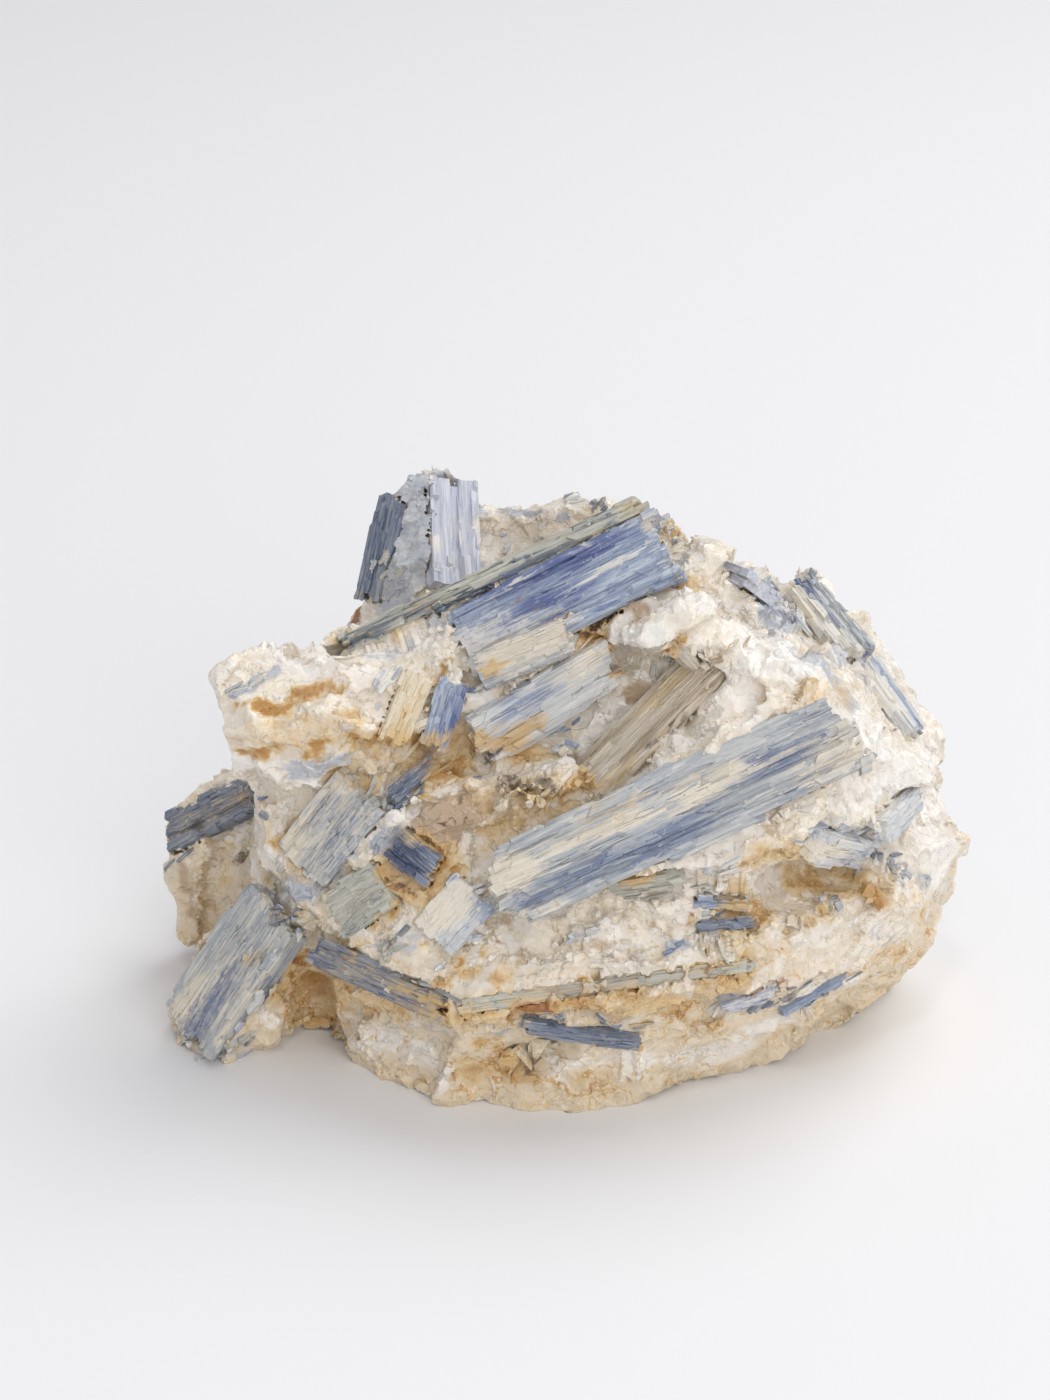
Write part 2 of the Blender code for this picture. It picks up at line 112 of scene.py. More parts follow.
# The kyanite
FACE_CUT = 0.25  # how far the quartz stays under a blade's face
LAMELLA_KINDS = 10
LONGEST_SLIVER = 7
STRAY_SLIVERS = 260
STRAY_SLOTS = "kyanite_grey", "kyanite_pale", "kyanite_dark", "kyanite_green"


# ---------------------------------------------------------------- strokes over the specimen

# (marks), width in mm, strength
OCHRE = {
    "block_line": ([(242, 707), (280, 709), (295, 696), (322, 688), (338, 688)], 0.9, 1.4),
    "block_foot": ([(244, 753), (303, 752), (338, 745), (354, 738)], 0.9, 1.4),
    "block_flap": ([(353, 711), (360, 722), (357, 736)], 1.3, 0.9),
    "block_low": ([(240, 735), (330, 728)], 2.6, 0.5),
    "rusty_blade": ([(401, 729), (426, 673)], 1.0, 0.6),
    "rusty_edge": ([(436, 684), (447, 658)], 0.7, 0.9),
    "collar_gap": ([(488, 672), (497, 665)], 1.2, 0.8),
    "pale_foot": ([(512, 742), (533, 722)], 1.3, 0.9),
    "seam": ([(360, 741), (396, 740), (459, 742), (509, 744), (540, 749)], 1.7, 0.8),
    "seam_low": ([(365, 770), (420, 760), (470, 768), (560, 790)], 2.6, 0.5),
    "seam_left": ([(335, 775), (375, 790)], 1.6, 0.5),
    "wall_foot": ([(557, 803), (584, 778)], 1.5, 1.0),
    "wall_edge": ([(590, 800), (640, 757)], 0.9, 0.7),
    "under_wall": ([(500, 830), (560, 815), (610, 805)], 2.6, 0.5),
    "centre_top": ([(570, 830), (640, 798)], 1.0, 0.55),
    "stub_side": ([(385, 872), (420, 895)], 1.8, 0.75),
    "plate_yellow": ([(276, 843), (290, 822)], 1.0, 0.7),
    "plate_low": ([(250, 880), (300, 870)], 2.2, 0.4),
    "left_hook": ([(243, 870), (241, 889)], 0.9, 1.0),
    "left_hook_side": ([(224, 881), (220, 910), (226, 921)], 0.9, 0.9),
    "green_line": ([(348, 955), (379, 923), (399, 903)], 0.8, 0.8),
    "white_under": ([(459, 960), (478, 951)], 0.9, 1.0),
    "white_low": ([(440, 981), (473, 969)], 0.9, 0.8),
    "orange_spot": ([(494, 978), (504, 972)], 0.9, 1.1),
    "foot_patch": ([(245, 962), (262, 955)], 1.3, 0.6),
    "ledge_left": ([(295, 965), (318, 969)], 2.0, 1.0),
    "skirt_left": ([(290, 990), (340, 990)], 2.6, 0.8),
    "skirt_low": ([(300, 1020), (350, 1000), (420, 1010)], 2.4, 0.6),
    "ledge_between": ([(395, 985), (440, 1006)], 0.8, 0.8),
    "ledge_end": ([(440, 1015), (500, 1020)], 1.8, 0.7),
    "under_ledge": ([(510, 1010), (560, 1006), (640, 1000)], 1.4, 0.9),
    "under_ledge_right": ([(630, 1005), (690, 1007), (720, 990)], 2.6, 0.7),
    "hem_crack": ([(640, 1027), (679, 1038), (725, 1025), (760, 1018)], 0.8, 0.9),
    "hollow_side": ([(470, 1078), (521, 1073)], 2.4, 0.8),
    "skirt_drop": ([(480, 1044), (497, 1053)], 1.2, 0.8),
    "skirt_foot": ([(560, 1085), (620, 1090), (700, 1080)], 2.2, 0.3),
    "ochre_nest": ([(748, 880), (760, 862), (790, 858)], 2.2, 0.7),
    "ochre_nest_low": ([(730, 905), (766, 912)], 1.8, 0.75),
    "ochre_under": ([(735, 940), (780, 945)], 2.2, 0.4),
    "yellow_ledge": ([(808, 864), (845, 872), (884, 882)], 1.3, 0.75),
    "hole_rim": ([(795, 878), (830, 880), (880, 895)], 1.8, 1.0),
    "hole_low": ([(800, 905), (835, 915)], 1.4, 0.6),
    "hole_right": ([(880, 890), (925, 915)], 1.6, 0.6),
    "crack": ([(823, 891), (826, 912), (801, 928)], 0.6, 1.0),
    "glass_pit": ([(700, 985), (720, 975), (742, 985)], 1.2, 0.7),
    "ledge_right": ([(690, 963), (757, 958)], 1.3, 0.55),
    "ledge_warm": ([(480, 1003), (600, 984), (700, 968)], 0.8, 0.5),
    "right_foot": ([(866, 969), (930, 950)], 2.8, 0.45),
    "right_edge": ([(900, 905), (930, 940)], 1.8, 0.4),
    "bulk_blotch": ([(806, 684), (844, 695)], 2.0, 0.5),
    "bulk_spot": ([(770, 690), (815, 720)], 2.2, 0.25),
    "centre_end": ([(850, 745), (870, 770)], 1.8, 0.35),
    "knob_crack": ([(657, 653), (691, 636), (723, 640)], 0.6, 1.0),
    "wall_top": ([(613, 674), (640, 667), (652, 657)], 0.8, 0.9),
    "recess_hole": ([(663, 652), (682, 648)], 1.0, 1.1),
    "summit_tip": ([(628, 508), (644, 508)], 1.2, 0.6),
    "rim": ([(360, 633), (420, 612), (450, 598)], 1.0, 0.45),
    "back_rim": ([(640, 515), (690, 540), (725, 555)], 1.6, 0.45),
    "peak_low": ([(440, 600), (470, 590)], 2.0, 0.3),
    "ear_side": ([(245, 800), (262, 830)], 1.6, 0.6),
}
RUST = {
    "collar_rim": ([(516, 603), (548, 612), (574, 622)], 0.6, 1.0),
    "pale_line": ([(498, 703), (513, 694)], 0.5, 0.9),
    "seam": ([(453, 758), (490, 747), (532, 744)], 0.9, 0.8),
    "seam_sliver": ([(432, 787), (454, 774)], 0.7, 1.0),
    "block_hole": ([(312, 695), (322, 692)], 0.8, 0.9),
    "block_line": ([(296, 697), (322, 690), (336, 689)], 0.35, 0.9),
    "block_foot": ([(262, 754), (303, 753), (336, 747)], 0.35, 0.9),
    "recess_hole": ([(664, 654), (680, 650)], 0.7, 1.0),
    "wall_top": ([(612, 676), (622, 672)], 0.7, 1.0),
    "ledge_left": ([(300, 962), (312, 972)], 1.2, 0.9),
    "skirt_left": ([(318, 1000), (330, 1012)], 1.2, 0.6),
    "under_ledge": ([(519, 1012), (545, 1006)], 1.1, 1.0),
    "hollow_rim": ([(525, 1052), (565, 1050)], 0.7, 0.7),
    "crack": ([(824, 893), (826, 910)], 0.4, 1.0),
    "hole": ([(820, 882), (838, 884)], 0.8, 0.8),
    "nest": ([(745, 868), (760, 880)], 0.8, 0.7),
    "ledge_line": ([(640, 978), (700, 966), (757, 960)], 0.4, 0.9),
    "ledge_line_left": ([(500, 997), (640, 975)], 0.35, 0.8),
    "stub": ([(392, 885), (412, 893)], 0.8, 0.7),
    "leaf": ([(690, 912), (700, 918)], 0.5, 0.9),
    "left_hook": ([(242, 872), (240, 884)], 0.5, 0.8),
}
# Dark dirt in seams and spots, and painted shade in holes, notches, crevices and under the
# overhang
DIRT_AND_SHADE = {
    "seam_black": ([(499, 778), (520, 782), (542, 781)], 1.7, 0.95),
    "seam_lilac": ([(530, 769), (573, 762)], 1.6, 0.6),
    "seam_grey": ([(480, 764), (500, 752)], 1.0, 0.9),
    "seam_spots": ([(545, 795), (575, 775)], 1.2, 0.5),
    "glassy_chunk": ([(440, 817), (470, 806)], 0.7, 0.7),
    "stub_low": ([(395, 882), (425, 893)], 1.2, 0.7),
    "block_spot": ([(360, 702), (368, 716)], 0.8, 0.7),
    "block_top_spot": ([(290, 688), (302, 685)], 0.8, 0.6),
    "left_hole": ([(232, 866), (244, 859)], 1.0, 1.0),
    "notch": ([(270, 918), (306, 917)], 1.4, 0.6),
    "notch_low": ([(278, 926), (298, 925)], 1.2, 0.45),
    "plate_edge": ([(364, 834), (340, 880), (316, 906)], 0.5, 0.9),
    "ledge_top": ([(380, 965), (420, 985), (454, 1007)], 0.9, 0.7),
    "hollow": ([(528, 1066), (560, 1058)], 1.6, 1.0),
    "under_ledge": ([(545, 1018), (575, 1024), (620, 1026)], 0.8, 0.8),
    "hole": ([(822, 890), (838, 891)], 0.9, 1.1),
    "hole_streak": ([(841, 888), (869, 885)], 0.6, 0.7),
    "shoulder_notch": ([(892, 728), (919, 733)], 0.8, 1.0),
    "shoulder_notch_left": ([(878, 722), (892, 729)], 0.7, 0.5),
    "shoulder_dark": ([(813, 597), (822, 612), (832, 628)], 0.45, 0.9),
    "rim_line": ([(352, 640), (420, 612), (470, 596), (520, 567), (600, 522)], 0.4, 0.75),
    "crevice": ([(712, 896), (744, 897)], 0.7, 0.8),
    "nest_spot": ([(706, 940), (718, 936)], 0.9, 0.8),
    "glass_pit": ([(708, 990), (735, 985)], 1.5, 0.6),
    # painted shade under the overhang
    "overhang": ([(250, 1052), (330, 1040), (400, 1050)], 2.5, 0.35),
    "rim_low": ([(395, 612), (440, 595)], 0.8, 0.6),
    "rim_under": ([(430, 605), (470, 600)], 1.0, 0.6),
    "leaf_side": ([(693, 895), (712, 885)], 0.7, 0.5),
    "ear": ([(190, 822), (203, 828)], 1.2, 0.9),
    "ear_end": ([(160, 835), (164, 848)], 1.2, 0.8),
    "green_side": ([(384, 941), (394, 940)], 1.1, 0.8),
}
TAN = {
    "glassy_chunk": ([(434, 817), (455, 812), (476, 804)], 2.0, 1.2),
    "knob_left": ([(612, 610), (635, 595), (640, 615)], 2.0, 0.55),
    "stub_right": ([(428, 836), (444, 842)], 1.8, 1.0),
    "seam_right": ([(503, 823), (526, 817)], 1.8, 0.8),
    "recess": ([(620, 690), (640, 700)], 1.8, 0.8),
    "recess_low": ([(600, 735), (625, 760)], 1.6, 0.5),
    "sugar_left": ([(500, 920), (520, 950)], 2.0, 0.5),
    "sugar_mid": ([(600, 950), (640, 940)], 2.4, 0.45),
    "sugar_right": ([(660, 930), (690, 930)], 1.8, 0.4),
    "glass_pit": ([(705, 985), (735, 990)], 1.8, 1.0),
    "skirt": ([(570, 1010), (620, 1015)], 2.0, 0.6),
    "left_low": ([(250, 900), (285, 895)], 2.2, 0.6),
    "back_left": ([(190, 880), (200, 920)], 2.6, 0.5),
    "under_centre": ([(770, 830), (800, 815)], 1.6, 0.5),
    "ear_side": ([(215, 850), (222, 856)], 1.2, 0.5),
    "collar_right": ([(500, 690), (520, 670)], 1.4, 0.5),
}
BLUE = {
    "block_rim": ([(236, 692), (276, 671)], 0.9, 0.9),
    "block_top": ([(366, 650), (405, 638)], 1.8, 0.75),
    "block_low": ([(293, 772), (353, 765)], 2.0, 0.6),
    "plate": ([(301, 850), (330, 815), (350, 800)], 2.6, 0.6),
    "plate_low": ([(320, 870), (350, 830)], 2.0, 0.9),
    "plate_foot": ([(272, 895), (312, 880)], 2.0, 0.9),
    "rim_ridge": ([(345, 641), (372, 627), (418, 610)], 0.8, 1.0),
    "stub_left": ([(378, 846), (392, 834)], 1.2, 0.9),
    "green_low": ([(385, 950), (420, 930)], 1.8, 0.5),
    "notch_low": ([(268, 948), (297, 932)], 1.2, 1.0),
    "notch_top": ([(276, 906), (302, 900)], 0.9, 0.9),
    "foot_left": ([(175, 1000), (225, 930)], 2.6, 0.6),
    "foot_low": ([(190, 1060), (240, 1045)], 2.4, 0.5),
    "blue_chip": ([(305, 1040), (311, 1034)], 0.8, 1.0),
    "skirt_left": ([(390, 1030), (440, 1040)], 2.4, 0.45),
    "skirt_teal": ([(497, 1040), (519, 1037)], 1.1, 0.9),
    "sugar_chip": ([(570, 940), (594, 930)], 1.0, 0.7),
    "sugar_bit": ([(662, 950), (684, 944)], 0.8, 0.9),
    "crevice": ([(680, 880), (725, 873)], 1.1, 0.7),
    "hole_right": ([(830, 902), (866, 900)], 1.2, 0.6),
    "specks": ([(905, 860), (918, 880)], 1.2, 0.5),
    "specks_low": ([(868, 928), (885, 940)], 1.2, 0.5),
    "specks_right": ([(890, 900), (910, 905)], 1.2, 0.4),
    "hem": ([(719, 1010), (737, 1001)], 0.9, 0.8),
    "shoulder": ([(745, 610), (790, 640), (800, 655)], 2.4, 0.45),
    "shoulder_fan": ([(801, 620), (823, 661)], 1.4, 0.6),
    "shoulder_broad": ([(829, 632), (862, 680)], 1.6, 0.5),
    "shoulder_edge": ([(770, 572), (794, 610)], 1.2, 0.9),
    "shoulder_rim": ([(800, 569), (832, 606), (860, 640)], 1.1, 0.7),
    "below_violet": ([(738, 620), (770, 622)], 1.1, 0.7),
    "bulk_top": ([(760, 640), (790, 650)], 2.0, 0.3),
    "centre_end": ([(842, 732), (855, 726)], 1.0, 0.6),
    "right_slivers": ([(870, 838), (900, 825)], 1.8, 0.6),
    "rim_between": ([(440, 600), (520, 562), (600, 520)], 1.2, 1.1),
    "back_ridge": ([(478, 492), (520, 512), (570, 516)], 0.9, 0.9),
    "peak": ([(430, 490), (460, 490), (455, 530), (430, 530)], 4.0, 1.0),
    "peak_low": ([(430, 560), (465, 560), (470, 590), (440, 600)], 3.5, 0.9),
    "violet_area": ([(688, 556), (735, 598), (785, 616)], 2.2, 0.95),
    "fan_area": ([(800, 640), (850, 700)], 2.2, 0.6),
    "peak_side": ([(385, 540), (395, 600)], 3.0, 0.8),
    "back_left": ([(165, 860), (170, 900)], 1.4, 0.4),
    "recess": ([(600, 670), (612, 690)], 1.2, 0.8),
    "recess_chunk": ([(656, 668), (668, 662)], 1.1, 0.8),
    "pale_under": ([(545, 745), (575, 742)], 0.9, 0.8),
}
# Milky white quartz, and painted light: the right side, the shoulder and the bulk are made paler
# as if lit more
WHITE_AND_LIT = {
    "block_top": ([(300, 665), (350, 650), (400, 640)], 2.6, 0.6),
    "block_front": ([(270, 722), (330, 715)], 2.0, 0.6),
    "nodule": ([(425, 640), (440, 630)], 1.6, 0.7),
    "over_wall": ([(600, 645), (650, 642)], 2.2, 1.0),
    "recess_face": ([(592, 735), (618, 712)], 2.2, 1.0),
    "pale_streak": ([(500, 700), (533, 666)], 0.7, 1.0),
    "knob": ([(650, 610), (700, 600)], 2.4, 0.7),
    "knob_right": ([(700, 585), (728, 605)], 1.6, 0.9),
    "shoulder": ([(760, 640), (830, 690), (880, 740)], 4.0, 0.7),
    "knob_top": ([(680, 575), (700, 590)], 2.4, 0.8),
    "bulk": ([(740, 690), (800, 660)], 3.6, 0.7),
    "bulk_left": ([(680, 740), (720, 710)], 2.4, 0.6),
    "right": ([(880, 770), (930, 800), (940, 860)], 4.6, 0.75),
    "right_low": ([(900, 920), (860, 960)], 3.6, 0.5),
    "waist": ([(800, 930), (870, 920)], 2.6, 0.5),
    "sugar": ([(560, 990), (640, 965)], 2.6, 0.5),
    "sugar_mid": ([(580, 960), (600, 945)], 1.2, 0.7),
    "skirt_right": ([(680, 1060), (740, 1050)], 2.6, 0.7),
    "skirt_left": ([(355, 1035), (420, 1060)], 2.6, 0.8),
    "skirt_glassy": ([(430, 1075), (485, 1085)], 2.0, 0.75),
    "skirt_middle": ([(560, 1075), (640, 1062)], 2.4, 0.75),
    "skirt_end": ([(740, 1040), (790, 1022)], 2.0, 0.7),
    "low_right": ([(800, 1000), (860, 975)], 2.4, 0.7),
    "left_low": ([(250, 1000), (280, 1020)], 1.8, 0.6),
    "ear": ([(225, 838), (245, 828)], 1.4, 0.8),
    "nest": ([(725, 892), (740, 885)], 0.9, 0.9),
}
DEEP = {
    "summit_left": ([(470, 605), (540, 570), (600, 540)], 1.2, 0.9),
    "rim_dark": ([(345, 642), (420, 613), (470, 597), (520, 568)], 0.7, 1.2),
    "rim_upper": ([(520, 568), (580, 535), (620, 510)], 0.5, 1.0),
    "summit_low": ([(530, 605), (570, 600)], 1.4, 1.0),
    "summit_mid": ([(540, 575), (590, 560)], 1.0, 0.9),
    "summit_top": ([(590, 540), (620, 520)], 1.2, 0.8),
    "centre_right": ([(730, 775), (812, 745)], 1.2, 1.0),
    "centre_low": ([(590, 870), (700, 825)], 1.3, 0.9),
    "centre_left": ([(520, 900), (580, 880)], 0.9, 0.6),
    "small_blue": ([(466, 668), (474, 688), (452, 720)], 1.1, 0.9),
    "pale_spot": ([(514, 704), (546, 688)], 1.2, 1.1),
    "dark_stub": ([(400, 860), (410, 840)], 2.4, 1.0),
    "arc_rim": ([(812, 828), (837, 823), (856, 834), (866, 853)], 0.7, 1.0),
    "arc_low": ([(841, 862), (862, 869)], 0.6, 1.0),
    "arc_left": ([(796, 843), (806, 841)], 0.6, 1.0),
    "violet_edge": ([(735, 607), (790, 616)], 0.6, 1.1),
    "shoulder_tip": ([(797, 571), (812, 593)], 0.9, 1.0),
    "shoulder_long": ([(870, 650), (893, 687), (917, 724)], 0.8, 1.0),
    "foot_dark": ([(230, 980), (192, 1028)], 1.4, 1.3),
    "foot_right": ([(276, 982), (240, 1040)], 1.3, 0.7),
    "plate_dark": ([(325, 850), (345, 825)], 1.2, 0.6),
    "wall_dark": ([(614, 773), (636, 750)], 0.9, 1.0),
    "wall_brown": ([(638, 742), (675, 716)], 1.1, 0.9),
    "wall_edge": ([(700, 688), (742, 640)], 0.9, 0.8),
    "white_side": ([(455, 890), (490, 908)], 1.5, 0.7),
    "hem_dark": ([(750, 1012), (790, 985)], 0.4, 1.2),
    "lens_low": ([(690, 905), (715, 905)], 0.8, 0.8),
}
CREAM = {
    "summit_long": ([(600, 571), (632, 553)], 0.6, 1.2),
    "summit_mid": ([(545, 560), (585, 545)], 0.9, 0.8),
    "summit_left": ([(505, 592), (545, 568)], 0.5, 1.2),
    "summit_bit": ([(592, 531), (618, 527)], 0.6, 1.0),
    # Quartz dust on the summit's tip, with painted glints
    "summit_tip": ([(630, 512), (655, 525)], 1.3, 0.6),
    "centre_left": ([(490, 880), (520, 870)], 2.2, 0.9),
    "centre_cut": ([(690, 800), (745, 760)], 1.2, 0.9),
    "centre_band": ([(550, 850), (640, 815)], 0.9, 0.9),
    "centre_low_left": ([(515, 915), (560, 905)], 0.9, 0.7),
    "centre_top": ([(640, 805), (700, 775)], 0.8, 0.5),
    "centre_end": ([(815, 775), (860, 735)], 3.0, 0.55),
    "arc_mid": ([(805, 850), (845, 850)], 1.3, 1.0),
    "white": ([(425, 920), (460, 900)], 2.2, 1.0),
    "green": ([(330, 930), (360, 890)], 2.0, 0.3),
    "plate_left": ([(285, 860), (300, 830)], 1.6, 0.8),
    "plate_top": ([(330, 790), (350, 780)], 1.6, 0.6),
    "foot_mid": ([(178, 1012), (205, 985)], 1.3, 1.1),
    "foot_low": ([(215, 1040), (245, 1000)], 1.0, 0.7),
    "pale_top": ([(560, 680), (600, 650)], 1.6, 0.6),
    "wall_low": ([(595, 790), (625, 765)], 0.7, 0.9),
    "plate_mottle": ([(285, 885), (320, 840), (355, 785)], 5.0, 0.42),
    "foot_mottle": ([(180, 1030), (225, 985), (270, 930)], 6.0, 0.38),
    "collar_mottle": ([(470, 655), (560, 625)], 4.0, 0.65),
    "collar_streak": ([(490, 660), (560, 632)], 0.8, 0.9),
    "fan_mottle": ([(790, 590), (850, 660), (890, 700)], 3.0, 0.5),
    "fan_streak": ([(790, 585), (832, 650)], 0.6, 1.0),
    "peak_band": ([(425, 535), (480, 532)], 1.8, 1.0),
    "hem_pale": ([(735, 1010), (780, 990)], 0.5, 1.1),
    "hem_pale_top": ([(740, 995), (775, 983)], 0.4, 1.0),
    "hem_mottle": ([(730, 1008), (790, 985)], 2.5, 0.45),
    "ear_mottle": ([(180, 830), (240, 800)], 2.5, 0.4),
    "lip_mottle": ([(320, 955), (430, 1000)], 2.0, 0.45),
    "smoky_pale": ([(650, 705), (700, 660)], 1.4, 0.8),
}
# Where the quartz is sugary, and how thick its loose grains lie there
SUGAR = {
    "middle": ([(510, 935), (600, 950), (690, 935)], 7.0, 1.0),
    "low": ([(470, 990), (560, 985), (640, 970)], 4.0, 0.9),
    "seam": ([(400, 780), (480, 800), (560, 790)], 4.0, 0.6),
    "right": ([(850, 800), (920, 850), (900, 930)], 6.0, 0.3),
}
# How far the quartz is cut in (or stands out, if negative) along a stroke, in mm
HOLLOWS = {
    "right_hole": ([(820, 890), (840, 891), (868, 888)], 1.0, 1.6),
    "yellow_ledge": ([(812, 866), (845, 873), (882, 882)], 1.0, -0.7),
    "crack": ([(823, 893), (826, 912), (801, 928)], 0.5, 0.5),
    "block_line": ([(262, 709), (295, 697), (338, 688)], 0.9, 0.5),
    "block_foot": ([(246, 755), (303, 753), (350, 745)], 1.0, 0.8),
    "skirt_hollow": ([(520, 1068), (562, 1059)], 1.8, 2.0),
    "left_hole": ([(236, 866), (242, 860)], 1.0, 1.4),
    "notch": ([(272, 919), (304, 920)], 1.2, 0.8),
    "shoulder_notch": ([(888, 728), (919, 733)], 0.9, 1.3),
    "recess_hole": ([(663, 654), (682, 651)], 0.9, 1.0),
    "knob_crack": ([(657, 653), (691, 637), (723, 641)], 0.5, 0.5),
    "over_wall": ([(603, 623), (635, 629), (655, 632)], 0.4, 0.35),
    "hem_crack": ([(650, 1031), (679, 1038), (725, 1026)], 0.6, 0.5),
    "seam": ([(365, 746), (430, 746), (500, 750)], 0.9, 0.6),
    "glassy_chunk": ([(436, 822), (470, 812)], 1.2, -0.6),
}
# Quartz grains fused into the lump: mark, radius, and mm nearer than what shows there
NODULES = {
    "by_block": ((455, 650), 3.0, 1),
    "block_gap": ((463, 655), 2.2, 3),
    "block_low_gap": ((468, 672), 2.2, 3),
    "block_top": ((436, 634), 2.6, 0),
    "block_end": ((448, 668), 2.4, 0),
    "under_violet": ((706, 588), 3.6, 14),
    "under_violet_mid": ((726, 603), 3.6, 17),
    "under_violet_end": ((744, 606), 3.0, 18),
    "violet_left": ((692, 571), 3.4, 15),
    "pit": ((736, 601), 5.5, 8),
    "pit_left": ((722, 596), 5.0, 6),
    "behind_summit": ((655, 545), 2.0, 0),
    "recess": ((630, 672), 3.0, 4),
    "recess_low": ((606, 700), 2.6, 2),
    "knob_left": ((618, 612), 3.0, 0),
    "notch": ((288, 925), 1.2, 0),
    "notch_side": ((281, 917), 1.8, 1),
    "hole_side": ((862, 878), 1.6, 0),
    "wall_hole": ((588, 791), 2.6, 4),
    "seam": ((520, 795), 2.4, 0),
    "seam_left": ((470, 790), 2.0, 0),
}
